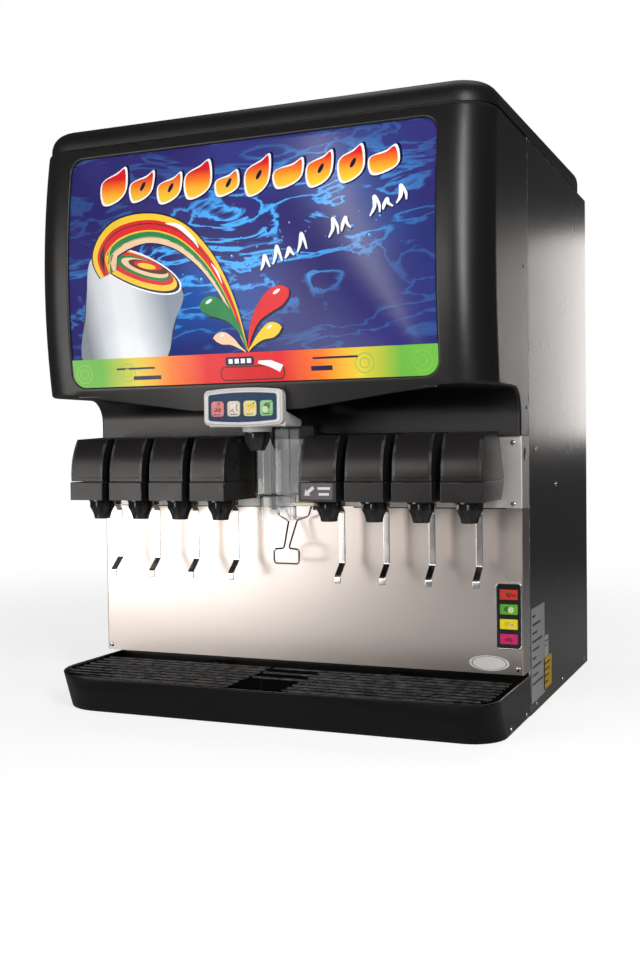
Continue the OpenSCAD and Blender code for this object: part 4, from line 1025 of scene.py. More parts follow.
for number, x in enumerate(valve_x, 1):
    body = f"lever_{number}"
    lever = strip_piece(f"lever_{number}_strip", x, lever_line, 11, 2.4, polished)
    place(lever, body, "lever_steel", f"valve_lever_{number}")
    pin = round_bar(f"lever_{number}_pin", (x - 10.3, -108, 346), (x + 10.3, -108, 346), 1.95, polished)
    place(shape_edges(pin, 0.3, 2), body, "lever_steel")
    eye = round_bar(f"lever_{number}_eye", (x - 5.5, -108, 346), (x + 5.5, -108, 346), 3.6, polished, 24)
    place(shape_edges(eye, 0.4, 2), body, "lever_steel")

# ---------- ice chute ----------
# A clear moulded chute that drops ice into the cup, wider above and stepped to a rounded mouth below,
# with two stiffening ribs down its face.
clear = bpy.data.materials.new("clear_plastic")
clear.use_nodes = True
clear_shader = clear.node_tree.nodes["Principled BSDF"]
clear_shader.inputs["Base Color"].default_value = (0.93, 0.95, 0.96, 1)
clear_shader.inputs["Metallic"].default_value = 0.0
clear_shader.inputs["Transmission Weight"].default_value = 1.0
clear_shader.inputs["IOR"].default_value = 1.4
c_grain = clear.node_tree.nodes.new("ShaderNodeGroup")
c_grain.node_tree = grain_group
c_grain.inputs["Grain"].default_value = 90.0
c_grain.inputs["Cloud"].default_value = 22.0
c_rough = clear.node_tree.nodes.new("ShaderNodeMapRange")
c_rough.inputs["To Min"].default_value = 0.0
c_rough.inputs["To Max"].default_value = 0.035
c_tone = clear.node_tree.nodes.new("ShaderNodeMix")
c_tone.data_type = "RGBA"
c_tone.inputs[6].default_value = (0.90, 0.93, 0.95, 1)
c_tone.inputs[7].default_value = (0.96, 0.98, 0.99, 1)
c_bump = clear.node_tree.nodes.new("ShaderNodeBump")
c_bump.inputs["Strength"].default_value = 0.08
c_bump.inputs["Distance"].default_value = 0.4 * MM
clear.node_tree.links.new(c_grain.outputs["Clouds"], c_tone.inputs[0])
clear.node_tree.links.new(c_tone.outputs[2], clear_shader.inputs["Base Color"])
clear.node_tree.links.new(c_grain.outputs["Clouds"], c_rough.inputs["Value"])
clear.node_tree.links.new(c_rough.outputs["Result"], clear_shader.inputs["Roughness"])
clear.node_tree.links.new(c_grain.outputs["Height"], c_bump.inputs["Height"])
clear.node_tree.links.new(c_bump.outputs["Normal"], clear_shader.inputs["Normal"])


def plan_ring(width, depth, radius, y_mid, z, steps=6):
    """A rounded rectangle seen from above, always with the same number of points."""
    ring = []
    for quarter, (sx, sy) in enumerate(((1, 1), (-1, 1), (-1, -1), (1, -1))):
        for t in spread(0, math.pi / 2, steps):
            a = quarter * math.pi / 2 + t
            ring.append((sx * (width / 2 - radius) + radius * math.cos(a),
                         y_mid + sy * (depth / 2 - radius) + radius * math.sin(a), z))
    return ring


stations = [(54, 50, 16, -128, 317), (54, 50, 16, -128, 354), (55, 51.5, 16, -127.7, 356.5),
            (60.5, 64, 12.5, -125.1, 358.5), (62, 66, 12, -125, 361), (62, 66, 12, -125, 469.6)]
outside = [plan_ring(*s) for s in stations]
inside = [plan_ring(w - 4, d - 4, max(r - 2, 8), y, z + (1.2 if 2 <= k <= 4 else 0))
          for k, (w, d, r, y, z) in enumerate(stations)]
rings = outside + inside[::-1] + outside[:1]
chute = add_mesh("ice_chute_shell", [p for ring in rings for p in ring], ring_faces(rings), clear)
settle(chute, 35)
place(chute, "cabinet", "chute_clear", "ice_chute")
for s in (-1, 1):
    rib = open_box(f"ice_chute_rib_{s + 1}", (s * 12 - 1, -159.2, 363), (s * 12 + 1, -158.1, 440),
                   ["left", "right", "front", "top", "bottom", "rear"], clear, 0.4, 0)
    place(rib, "cabinet", "chute_clear")

# ---------- ice lever ----------
# One length of bright wire, bent into a narrow fork that ends in a closed loop for the cup. It swings on two
# stub pivots under the duct.
chrome = finish("bright_wire", (0.84, 0.84, 0.85), (0.76, 0.76, 0.78), 0.09, 0.03, grain=500, relief=0.02,
                cloud=30.0, Metallic=1.0)
half_wire = [(34, -63, 338), (31.5, -63, 337), (30, -64, 334), (28, -66, 324), (26, -67, 320),
             (10, -70, 315), (7.5, -71, 312), (4.5, -96, 272), (6, -97, 269), (18, -97, 268),
             (21, -97, 266.8), (22.4, -97, 263.6), (22.4, -97, 248.4), (21, -97, 245.2), (18, -97, 244)]
wire_line = [(-x, y, z) for x, y, z in half_wire] + half_wire[::-1]


def wire_piece(name, line, radius, material, steps=4, sides=12):
    """Round wire through a line of places, its bends rounded off."""
    data = bpy.data.curves.new(name, "CURVE")
    data.dimensions = "3D"
    data.bevel_depth, data.bevel_resolution = radius * MM, sides // 4 - 1
    data.use_fill_caps = True
    spline = data.splines.new("POLY")
    smooth = []
    for k, p in enumerate(line):
        if 0 < k < len(line) - 1:
            before, here, after = Vector(line[k - 1]), Vector(p), Vector(line[k + 1])
            cut = min((before - here).length, (after - here).length, 2 * radius + 1.5) * 0.42
            a, b = here + (before - here).normalized() * cut, here + (after - here).normalized() * cut
            smooth += [a.lerp(here, t).lerp(here.lerp(b, t), t) for t in spread(0, 1, steps)]
        else:
            smooth.append(Vector(p))
    spline.points.add(len(smooth) - 1)
    for point, p in zip(spline.points, smooth):
        point.co = (*at(*p), 1)
    curve_obj = bpy.data.objects.new(name, data)
    scene.collection.objects.link(curve_obj)
    mesh = bpy.data.meshes.new_from_object(curve_obj.evaluated_get(bpy.context.evaluated_depsgraph_get()))
    bpy.data.objects.remove(curve_obj)
    obj = bpy.data.objects.new(name, mesh)
    scene.collection.objects.link(obj)
    mesh.materials.clear()
    mesh.materials.append(material)
    return settle(obj)


trigger = wire_piece("ice_lever_wire", wire_line, 1.58, chrome)
place(trigger, "ice_trigger", "wire_chrome", "ice_lever")
for s in (-1, 1):
    stub = round_bar(f"ice_lever_pivot_{s + 1}", (s * 33, -63, 338), (s * 41, -63, 338), 1.58, chrome)
    place(shape_edges(stub, 0.3, 2), "ice_trigger", "wire_chrome")

# ---------- water tab ----------
# A small cream moulding beside the fifth nozzle, pressed down for plain water. It turns on a pin in the valve
# body's ear.
cream = finish("tab_cream", (0.78, 0.70, 0.50), (0.70, 0.61, 0.42), 0.33, relief=0.1, cloud=30, wear_and_sheen=0.2,
               wear_and_sheen_colour=(0.6, 0.5, 0.35))
tab_ring = [plan_ring(38, 17, 4, -181, 343.9), plan_ring(38, 17, 4, -181, 349.1)]
tab_ring = [[(x + 70, y, z - 0.06 * max(0, 62 - x - 70)) for x, y, z in ring] for ring in tab_ring]
n = len(tab_ring[0])
tab = add_mesh("water_tab", tab_ring[0] + tab_ring[1],
               ring_faces(tab_ring) + [tuple(range(n)), tuple(range(n, 2 * n))], cream)
place(shape_edges(tab, 1.2, 3), "water_tab", "tab_cream", "water_lever")
pin = round_bar("water_tab_pin", (84, -174, 347), (84, -167.9, 347), 1.95, cream)
place(settle(pin), "water_tab", "tab_cream")

# ---------- flavour head ----------
# A silver housing that hangs through the chin, with an arched face, a dark blue printed overlay and four
# coloured keys that each carry a small generic fruit. A short black nozzle hangs under it.
silver = finish("head_silver", (0.80, 0.795, 0.79), (0.74, 0.735, 0.73), 0.33, 0.04, grain=1500, relief=0.03,
                wear_and_sheen=0.15, wear_and_sheen_colour=(0.4, 0.4, 0.4))
head_x, head_z, head_y, arch_r = 1.0, 496.0, -257.0, 560.0


def arched(width, height, radius, steps=6, sides=10):
    """An (x, z) outline about the head's middle with slightly arched long edges, counter-clockwise."""
    arch = [(x, height / 2 + 3 - arch_r + math.sqrt(arch_r ** 2 - x * x)) for x in
            spread(width / 2 - radius, -width / 2 + radius, sides)]
    end = arch[0][1]
    right = [(width / 2 - radius + radius * math.sin(a), end - radius + radius * math.cos(a))
             for a in spread(math.pi / 2, 0, steps)][:-1]
    loop = right + arch + [(-x, z) for x, z in reversed(right)]
    return loop + [(x, -z) for x, z in reversed(loop)]


def face_stack(name, outlines, material, x_mid, z_mid, fill_last=True, fill_first=False):
    """A moulding built forwards from (outline, y) pairs that all have the same number of points."""
    rings = [[(x_mid + x, y, z_mid + z) for x, z in outline] for outline, y in outlines]
    n = len(rings[0])
    faces = ring_faces(rings)
    if fill_last:
        faces.append(tuple(range(n * (len(rings) - 1), n * len(rings))))
    if fill_first:
        faces.append(tuple(range(n)))
    return add_mesh(name, [p for ring in rings for p in ring], faces, material)


round_over = [(3.0 * (1 - math.sin(a)), 3.0 * (1 - math.cos(a))) for a in spread(0, math.pi / 2, 4)]
bezel = [(arched(128, 48, 8), -236), (arched(132, 52.4, 8), -242)]
bezel += [(arched(132 - 2 * (3 - i), 53 - 2 * (3 - i), 8 - (3 - i)), head_y + 3 - d) for i, d in round_over]
bezel += [(arched(119, 43, 5), head_y + 0.4), (arched(116, 40, 4), head_y + 1.6)]
shell = face_stack("flavour_shell", bezel, silver, head_x, head_z, True, True)
# behind the bezel the body is a wedge with a level underside
wedge_end = ordered(round_plan(65, -11.5, 11.5, 3, 3, 5))
wedge = [([(x * share, z * height - 29 + 11.5 * height) for x, z in wedge_end], y)
         for share, height, y in ((1, 1.04, -240), (0.91, 0.48, -168))]
place(settle(face_stack("flavour_body", wedge, silver, head_x, head_z, True, True), 34), "cabinet",
      "head_silver")
collar = turned("flavour_collar", head_x, -204, 459, [(20, 0, 0), (22, 0, 0), (23, 1, 0), (23, 12, 0)], 8,
                0, silver)
place(collar, "cabinet", "head_silver")
navy = finish("overlay_navy", (0.006, 0.040, 0.105), (0.005, 0.033, 0.088), 0.42, 0.03, grain=1500,
              relief=0.03, Specular_IOR_Level=0.25)
overlay = face_stack("flavour_overlay",
                     [(arched(115, 39, 4), head_y + 1.5), (arched(115, 39, 4), head_y + 0.9)], navy,
                     head_x, head_z, True, True)


def tile(width, height, radius):
    return ordered(round_plan(width / 2, -height / 2, height / 2, radius, radius, 5))


def key_window(obj, outline, near, far, x, z):
    """Cuts the opening that a key slides in."""
    pierce(obj, face_stack("drill", [(outline, far), (outline, near)], obj.data.materials[0], x, z, True,
                           True))


def flat_art(name, outline, y, x_mid, z_mid, body, slot, material):
    """A thin printed shape on a flat face."""
    obj = add_mesh(name, [(x_mid + x, y, z_mid + z) for x, z in outline], [tuple(range(len(outline)))],
                   material)
    if obj.data.polygons[0].normal.y > 0:
        obj.data.flip_normals()
    return place(obj, body, slot)


pigment = {
    "pink": finish("key_pink", (0.72, 0.20, 0.21), (0.62, 0.14, 0.16), 0.3, relief=0.03, cloud=60),
    "ivory": finish("key_ivory", (0.78, 0.66, 0.54), (0.70, 0.57, 0.46), 0.3, relief=0.03, cloud=60),
    "lemon": finish("key_lemon", (0.82, 0.76, 0.32), (0.78, 0.68, 0.22), 0.3, relief=0.03, cloud=60),
    "lime": finish("key_lime", (0.30, 0.62, 0.26), (0.20, 0.50, 0.18), 0.3, relief=0.03, cloud=60),
    "cherry": finish("art_cherry", (0.45, 0.008, 0.01), (0.30, 0.005, 0.008), 0.3, relief=0.02, cloud=200),
    "leaf": finish("art_leaf", (0.03, 0.20, 0.03), (0.02, 0.12, 0.02), 0.3, relief=0.02, cloud=200),
    "petal": finish("art_petal", (0.85, 0.84, 0.80), (0.78, 0.77, 0.74), 0.3, relief=0.02, cloud=200),
    "bark": finish("art_bark", (0.03, 0.02, 0.015), (0.02, 0.012, 0.01), 0.3, relief=0.02, cloud=200),
    "sun": finish("art_sun", (0.85, 0.58, 0.01), (0.80, 0.48, 0.01), 0.3, relief=0.02, cloud=200),
    "flesh": finish("art_flesh", (0.62, 0.80, 0.35), (0.50, 0.72, 0.25), 0.3, relief=0.02, cloud=200),
}
flower = [(5 * (1 + 0.35 * math.cos(5 * t)) * math.cos(t), 5 * (1 + 0.35 * math.cos(5 * t)) * math.sin(t))
          for t in (math.tau * k / 40 for k in range(40))]
lemon = [(6.2 * math.cos(t) + 0.9 * math.cos(t) ** 7, 4.3 * math.sin(t))
         for t in (math.tau * k / 32 for k in range(32))]
key_art = [
    ("pink", [([(x - 3, z - 2.5) for x, z in disc(0, 0, 3.4, sides=20)], "cherry"),
              ([(x + 3.4, z - 3) for x, z in disc(0, 0, 3.4, sides=20)], "cherry"),
              (ribbon([(-3, 0, 0.4), (-0.5, 4, 0.4), (1.5, 7, 0.4)]), "leaf"),
              (ribbon([(3.4, 0, 0.4), (2.4, 4, 0.4), (1.5, 7, 0.4)]), "leaf"),
              ([(-1.4, 6.4), (0, 8), (3, 8.2), (5.6, 6.6), (3, 6), (0, 5.8)], "leaf"),
              ([(x - 4.2, z - 1.2) for x, z in disc(0, 0, 0.7, sides=10)], "petal")]),
    ("ivory", [([(x, z) for x, z in flower], "petal"), (disc(0, 0, 1.5, sides=14), "sun"),
               (ribbon([(-6, -6, 0.5), (-2, -2.5, 0.7), (1, -7, 0.5)]), "bark"),
               (ribbon([(6.4, -5, 0.5), (4.4, 0, 0.7), (6.4, 6, 0.5)]), "bark")]),
    ("lemon", [([(x + 1.4, z + 1.6) for x, z in lemon], "sun"), (disc(-2, -3.2, 4.2, sides=24), "petal"),
               (disc(-2, -3.2, 3.4, sides=20), "sun"),
               ([(4, 5.4), (6, 7.6), (8.6, 7), (7, 5)], "leaf")]),
    ("lime", [(disc(1.2, 1.6, 5.4, sides=24), "leaf"), (disc(-2, -3, 4.5, sides=24), "petal"),
              (disc(-2, -3, 3.7, sides=20), "flesh"), (disc(-2, -3, 0.8, sides=8), "petal"),
              ([(4, 6), (6, 8.4), (8.4, 7.6), (6.6, 5.4)], "leaf")]),
]
for k, (base, art) in enumerate(key_art):
    body, slot_name = f"flavor_key_{k + 1}", f"flavor_key_{k + 1}"
    key_x = head_x + (k - 1.5) * 27.4
    for sheet in (shell, overlay):
        key_window(sheet, tile(21.9, 23.9, 4.85), head_y - 3, head_y + 9, key_x, head_z - 2)
    outlines = [(tile(21.4, 23.4, 4.6), head_y + 6.4), (tile(21.4, 23.4, 4.6), head_y - 0.1),
                (tile(20.9, 22.9, 4.3), head_y - 0.4), (tile(20.1, 22.1, 3.9), head_y - 0.5)]
    key = face_stack(f"flavour_key_{k + 1}", outlines, pigment[base], key_x, head_z - 2, True, True)
    place(settle(key, 30), body, slot_name, f"flavor_button_{k + 1}")
    for m, (outline, shade) in enumerate(art):
        flat_art(f"flavour_key_{k + 1}_art_{m}", [(x, z + 1.2) for x, z in outline],
                 head_y - 0.51 - 0.012 * m, key_x, head_z - 2, body, slot_name, pigment[shade])
    caption = [(-6, -9.2), (6, -9.2), (6, -8), (-6, -8)]
    flat_art(f"flavour_key_{k + 1}_bar", caption, head_y - 0.52, key_x, head_z - 2, body, slot_name,
             pigment["bark"])
place(shape_edges(shell, 0.0, 1, 0, 34), "cabinet", "head_silver", "flavor_housing")
place(settle(overlay), "cabinet", "head_blue", "flavor_panel")
flavour_nozzle = turned("flavour_nozzle", head_x, -204, 430,
                        [(7.6, 25, 0), (8, 1, 0), (8.6, 0, 0), (11.2, 0, 0), (12, 0.8, 0), (15, 7, 0.8),
                         (18.6, 13, 1), (20.4, 19, 1), (20.8, 26, 1), (21.2, 27, 0), (21.2, 29, 0),
                         (9, 29, 0)], 10, 2.6, gloss_black)
place(flavour_nozzle, "cabinet", "nozzle_black", "flavor_nozzle")

# ---------- selector ----------
# A glossy black bezel with a bright rim, snapped into the splash panel. Its four coloured keys pick the
# drink, slide in openings of their own and carry the same kind of generic pictures.
pick_x, pick_z, pick_y = 358.5, 166.3, -48.8
pick_top, pick_pitch = 200.2, 23.3       # the top key's height and the step down to the next
pick_black = finish("selector_gloss", (0.012, 0.012, 0.013), (0.009, 0.009, 0.010), 0.10, 0.03, relief=0.02)
outlines = [(tile(42, 105, 7), face_y + 0.05), (tile(42, 105, 7), pick_y + 1.2),
            (tile(41.2, 104.2, 6.6), pick_y + 0.3), (tile(40, 103, 6), pick_y)]
rim_outline = outlines + [(tile(38.6, 101.6, 5.3), pick_y + 0.25)]
rim = face_stack("selector_rim", rim_outline, chrome, pick_x, pick_z, False)
place(settle(rim, 50), "cabinet", "selector_black")
plate_outline = [(tile(38.7, 101.7, 5.3), pick_y + 2), (tile(38.7, 101.7, 5.3), pick_y + 0.3),
                 (tile(38, 101, 5), pick_y + 0.05), (tile(36, 99, 4), pick_y)]
select = face_stack("selector_face", plate_outline, pick_black, pick_x, pick_z, True, True)
for k in range(4):
    key_window(select, tile(28.8, 16.4, 1.4), pick_y - 3, pick_y + 5, pick_x, pick_top - pick_pitch * k)
place(settle(select, 50), "cabinet", "selector_black", "select_panel")
pigment["scarlet"] = finish("key_scarlet", (0.72, 0.055, 0.03), (0.60, 0.035, 0.02), 0.25, relief=0.03,
                            cloud=60)
pigment["grass"] = finish("key_grass", (0.15, 0.50, 0.035), (0.10, 0.40, 0.02), 0.25, relief=0.03, cloud=60)
pigment["bright"] = finish("key_bright", (0.90, 0.82, 0.02), (0.85, 0.74, 0.01), 0.25, relief=0.03, cloud=60)
pigment["magenta"] = finish("key_magenta", (0.75, 0.02, 0.22), (0.62, 0.015, 0.16), 0.25, relief=0.03,
                            cloud=60)
berry = [(0, -6), (3.6, -2.5), (4.6, 1.5), (2.6, 4), (0, 3.4), (-2.6, 4), (-4.6, 1.5), (-3.6, -2.5)]
pick_art = [("scarlet", [(curve(berry, 3), "cherry"),
                         ([(-3.4, 3.4), (0, 2), (3.4, 3.4), (1.4, 5), (0, 6.2), (-1.4, 5)], "leaf"),
                         (disc(8, -1, 3, sides=16), "cherry")]),
            ("grass", [(disc(-3, 0.5, 4.6, sides=22), "leaf"), (disc(3.4, -0.6, 4.8, sides=22), "petal"),
                       (disc(3.4, -0.6, 4, sides=20), "flesh")]),
            ("bright", [([(x * 0.8 - 2, z * 0.8 + 0.6) for x, z in lemon], "sun"),
                        (disc(5, -1.4, 3.6, sides=20), "petal"), (disc(5, -1.4, 2.9, sides=18), "sun")]),
            ("magenta", [(disc(-2.6, -0.6, 3.3, sides=18), "cherry"),
                         (disc(2.6, -1, 3.3, sides=18), "cherry"),
                         (ribbon([(-2.6, 2, 0.3), (0, 4.4, 0.3), (2, 6, 0.3)]), "leaf"),
                         (ribbon([(2.6, 2, 0.3), (2.4, 4, 0.3), (2, 6, 0.3)]), "leaf")])]
for k, (base, art) in enumerate(pick_art):
    body, slot_name, z = f"select_key_{k + 1}", f"select_key_{k + 1}", pick_top - pick_pitch * k
    outlines = [(tile(28.4, 16, 1.2), pick_y + 7), (tile(28.4, 16, 1.2), -49.3), (tile(27.8, 15.4, 1), -49.6)]
    key = face_stack(f"selector_key_{k + 1}", outlines, pigment[base], pick_x, z, True, True)
    place(settle(key, 30), body, slot_name, f"select_button_{k + 1}")
    for m, (outline, shade) in enumerate(art):
        flat_art(f"selector_key_{k + 1}_art_{m}", outline, -49.61 - 0.012 * m, pick_x, z, body, slot_name,
                 pigment[shade])

# ---------- drip tray ----------
# A deep black moulding across the full width. Its front wall leans out to a bowed, rounded rim, and
# inside stand two posts that keep the racks off the splash panel and ledges that carry them.
tray_black = finish("tray_black", (0.005, 0.0042, 0.0039), (0.004, 0.0033, 0.0031), 0.33, 0.04, grain=1200,
                    relief=0.06, cloud=5.0, wear_and_sheen=0.2, wear_and_sheen_colour=(0.04, 0.037, 0.035), Specular_IOR_Level=0.26)
tray_h, tray_front, foot_front, bow_r = 65.0, -252.0, -209.0, 3660.0


def tray_ring(inset, share, z, back=0.0, across=26, steps=8):
    """One level of the tray. Share 0 is the foot's outline and 1 the bowed rim's."""
    front = foot_front + (tray_front - foot_front) * share + inset
    radii = {-1: max(73 + 27 * share - inset, 8), 1: max(55 + 3 * share - inset, 8)}
    half = half_w - inset
    ring = [(-half, back, z), (-half, back * 0.5 + (front + radii[-1]) * 0.5, z)]
    for sign, radius in radii.items():
        arc = [(sign * (half - radius + radius * math.cos(a)), front + radius - radius * math.sin(a))
               for a in spread(0, math.pi / 2, steps)]
        if sign > 0:
            ring += [(x, front, z) for x in spread(-half + radii[-1], half - radius, across)[1:-1]]
            arc.reverse()
        ring += [(x, y, z) for x, y in arc]
    ring += [(half, back * 0.5 + (front + radius) * 0.5, z), (half, back, z)]
    bowed = []
    for x, y, height in ring:
        lowest = tray_front + inset + bow_r - math.sqrt(bow_r ** 2 - x * x)
        bowed.append((x, max(y, y + (lowest - y) * share) if y < lowest else y, height))
    return bowed


levels = [tray_ring(2.2, 0, 0), tray_ring(0.7, 0, 0.7), tray_ring(0, 0.02, 2.6)]
levels += [tray_ring(0, s, 1 + 63 * s) for s in (0.1, 0.3, 0.5, 0.7, 0.9)]
levels += [tray_ring(i * 0.55, 1, tray_h - 1.7 + 1.7 * math.sin(a))
           for a, i in ((a, 3 * (1 - math.cos(a))) for a in spread(0, math.pi / 2, 3))]
levels += [tray_ring(2.6, 1, tray_h, -2.6), tray_ring(4, 1, tray_h - 1.2, -4), tray_ring(4.6, 0.96, 62, -4.2),
           tray_ring(6, 0.3, 28, -5), tray_ring(6, 0.08, 13, -5.5), tray_ring(9, 0.02, 10, -9)]
n = len(levels[0])
tray_faces = ring_faces(levels) + [tuple(range(n)), tuple(range(n * (len(levels) - 1), n * len(levels)))]
tray = add_mesh("drip_tray_shell", [p for ring in levels for p in ring], tray_faces, tray_black)
pierce(tray, round_bar("drill", (0, -30, 21), (0, 3, 21), 8, tray_black, 32))
place(tray, "cabinet", "tray_black", "drip_tray")
stands = [(s * 168, -33, 11.5, tray_h - 2) for s in (-1, 1)]
stands += [(s * x, y, 5, 57.6) for s in (-1, 1) for x, y in ((62, -196), (330, -196), (62, -72), (352, -72))]
for k, (x, y, r, top) in enumerate(stands):
    post = round_bar(f"tray_post_{k}", (x, y, 9.2), (x, y, top), r, tray_black, 28)
    place(shape_edges(post, min(r * 0.3, 2.5), 3), "cabinet", "tray_black")

# ---------- racks ----------
# Two welded racks of round bar, coated black, lie on the tray's ledges. Long bars lie over cross wires, and
# three rear bars of the right rack run on across the middle. One tree of instanced bars makes each rack.
coated = finish("coated_bar", (0.010, 0.010, 0.0105), (0.007, 0.007, 0.0075), 0.22, 0.05, grain=1000,
                relief=0.02, cloud=30, wear_and_sheen=0.2, wear_and_sheen_colour=(0.3, 0.3, 0.3))


def node_tree(name, inputs):
    """A Geometry Nodes group with a geometry output and the named inputs."""
    tree = bpy.data.node_groups.new(name, "GeometryNodeTree")
    tree.interface.new_socket("Geometry", in_out="OUTPUT", socket_type="NodeSocketGeometry")
    sockets = {}
    for label, kind, value in inputs:
        socket = tree.interface.new_socket(label, in_out="INPUT", socket_type=kind)
        if value is not None:
            socket.default_value = value
        sockets[label] = socket.identifier
    return tree, tree.nodes.new("NodeGroupInput"), tree.nodes.new("NodeGroupOutput"), sockets


bar_tree, b_in, b_out, bar_sockets = node_tree(
    "rack_bars", [("Count", "NodeSocketInt", 9), ("Pitch", "NodeSocketFloat", 0.02),
                  ("Length", "NodeSocketFloat", 0.3), ("Radius", "NodeSocketFloat", 0.002),
                  ("Start", "NodeSocketVector", (0, 0, 0)), ("Turn", "NodeSocketFloat", 0.0),
                  ("Material", "NodeSocketMaterial", None)])
bn, bl = bar_tree.nodes, bar_tree.links
b_row = bn.new("GeometryNodeMeshLine")
b_step = bn.new("ShaderNodeCombineXYZ")
b_bar = bn.new("GeometryNodeMeshCylinder")
b_bar.inputs["Vertices"].default_value = 14
b_lay = bn.new("GeometryNodeTransform")
b_lay.inputs["Rotation"].default_value = (0, math.pi / 2, 0)
b_copy = bn.new("GeometryNodeInstanceOnPoints")
b_real = bn.new("GeometryNodeRealizeInstances")
b_turn = bn.new("GeometryNodeTransform")
b_spin = bn.new("ShaderNodeCombineXYZ")
b_paint = bn.new("GeometryNodeSetMaterial")
bl.new(b_in.outputs["Count"], b_row.inputs["Count"])
bl.new(b_in.outputs["Pitch"], b_step.inputs["Y"])
bl.new(b_step.outputs["Vector"], b_row.inputs["Offset"])
bl.new(b_in.outputs["Radius"], b_bar.inputs["Radius"])
bl.new(b_in.outputs["Length"], b_bar.inputs["Depth"])
bl.new(b_bar.outputs["Mesh"], b_lay.inputs["Geometry"])
bl.new(b_row.outputs["Mesh"], b_copy.inputs["Points"])
bl.new(b_lay.outputs["Geometry"], b_copy.inputs["Instance"])
bl.new(b_copy.outputs["Instances"], b_turn.inputs["Geometry"])
bl.new(b_in.outputs["Turn"], b_spin.inputs["Z"])
bl.new(b_spin.outputs["Vector"], b_turn.inputs["Rotation"])
bl.new(b_in.outputs["Start"], b_turn.inputs["Translation"])
bl.new(b_turn.outputs["Geometry"], b_real.inputs["Geometry"])
bl.new(b_real.outputs["Geometry"], b_paint.inputs["Geometry"])
bl.new(b_in.outputs["Material"], b_paint.inputs["Material"])
bl.new(b_paint.outputs["Geometry"], b_out.inputs["Geometry"])


def grown(name, tree, sockets, sets):
    """Runs a tree once for each set of inputs and joins what it makes into one plain mesh."""
    whole = bmesh.new()
    for values in sets:
        obj = bpy.data.objects.new(name, bpy.data.meshes.new(name))
        scene.collection.objects.link(obj)
        modifier = obj.modifiers.new("grow", "NODES")
        modifier.node_group = tree
        for label, value in values.items():
            modifier[sockets[label]] = value
        mesh = apply_modifiers(obj)
        whole.from_mesh(mesh)
        materials = list(mesh.materials)
        bpy.data.objects.remove(obj)
    mesh = bpy.data.meshes.new(name)
    whole.to_mesh(mesh)
    whole.free()
    for material in materials:
        mesh.materials.append(material)
    obj = bpy.data.objects.new(name, mesh)
    scene.collection.objects.link(obj)
    return settle(obj)


def bar_set(x0, x1, y, count, pitch, z, radius, turn=0.0):
    middle = at((x0 + x1) / 2, y, z)
    return {"Count": count, "Pitch": pitch * MM, "Length": (x1 - x0) * MM, "Radius": radius * MM,
            "Start": middle, "Turn": turn, "Material": coated}


for sign, body, name in ((-1, "rack_l", "rack_left"), (1, "rack_r", "rack_right")):
    sets = []
    for first, count, end in ((0, 7, 366), (7, 1, 354), (8, 1, 318)):
        x0, x1 = sorted((sign * 48, sign * end))
        sets.append(bar_set(x0, x1, -62 - 20.5 * first, count, -20.5, 62, 2))
    if sign > 0:
        sets.append(bar_set(-42, 49, -62, 3, -41, 62, 2))
    for x, bars in ((54, 8), (207, 8), (308, 8), (360, 6)):
        y_mid, half = -62 - 10.25 * bars, 10.25 * bars + 3
        sets.append({"Count": 1, "Pitch": 0.0, "Length": 2 * half * MM, "Radius": 1.6 * MM,
                     "Start": at(sign * x, y_mid, 59.4), "Turn": math.pi / 2, "Material": coated})
    rack = grown(name + "_bars", bar_tree, bar_sockets, sets)
    place(rack, body, "rack_coated", name)

# ---------- screws and rivets ----------
# Truss-head stainless screws hold the front plates, the base and the tray, and rivets of the same head
# close the side panels. One tree sets a turned head with a cross recess on every place.
screw_steel = finish("screw_steel", (0.66, 0.64, 0.62), (0.58, 0.56, 0.54), 0.22, 0.05, grain=900,
                     relief=0.05, cloud=120, wear_and_sheen=0.3, wear_and_sheen_colour=(0.8, 0.78, 0.75), Metallic=1.0)
head_mesh = add_mesh("screw_head", [(0, 0, 0)], [], screw_steel)
bm = bmesh.new()
stations = [(4.25, 0), (4.25, 0.25), (4.0, 0.95), (3.3, 1.5), (2.3, 1.8), (1.9, 1.84)]
circles = [[bm.verts.new((r * MM * math.cos(t), r * MM * math.sin(t), h * MM))
            for t in (math.tau * k / 16 for k in range(16))] for r, h in stations]
for near, far in zip(circles, circles[1:]):
    for k in range(16):
        bm.faces.new((near[k], near[(k + 1) % 16], far[(k + 1) % 16], far[k]))
recess = [bm.verts.new(((1.55 if k % 4 == 0 else 0.5) * MM * math.cos(math.tau * k / 16),
                        (1.55 if k % 4 == 0 else 0.5) * MM * math.sin(math.tau * k / 16), 1.84 * MM))
          for k in range(16)]
floor_ring = [bm.verts.new((v.co.x * 0.7, v.co.y * 0.7, 1.0 * MM)) for v in recess]
for near, far in ((circles[-1], recess), (recess, floor_ring)):
    for k in range(16):
        bm.faces.new((near[k], near[(k + 1) % 16], far[(k + 1) % 16], far[k]))
bm.faces.new(floor_ring)
bmesh.ops.recalc_face_normals(bm, faces=bm.faces)
bm.to_mesh(head_mesh.data)
bm.free()

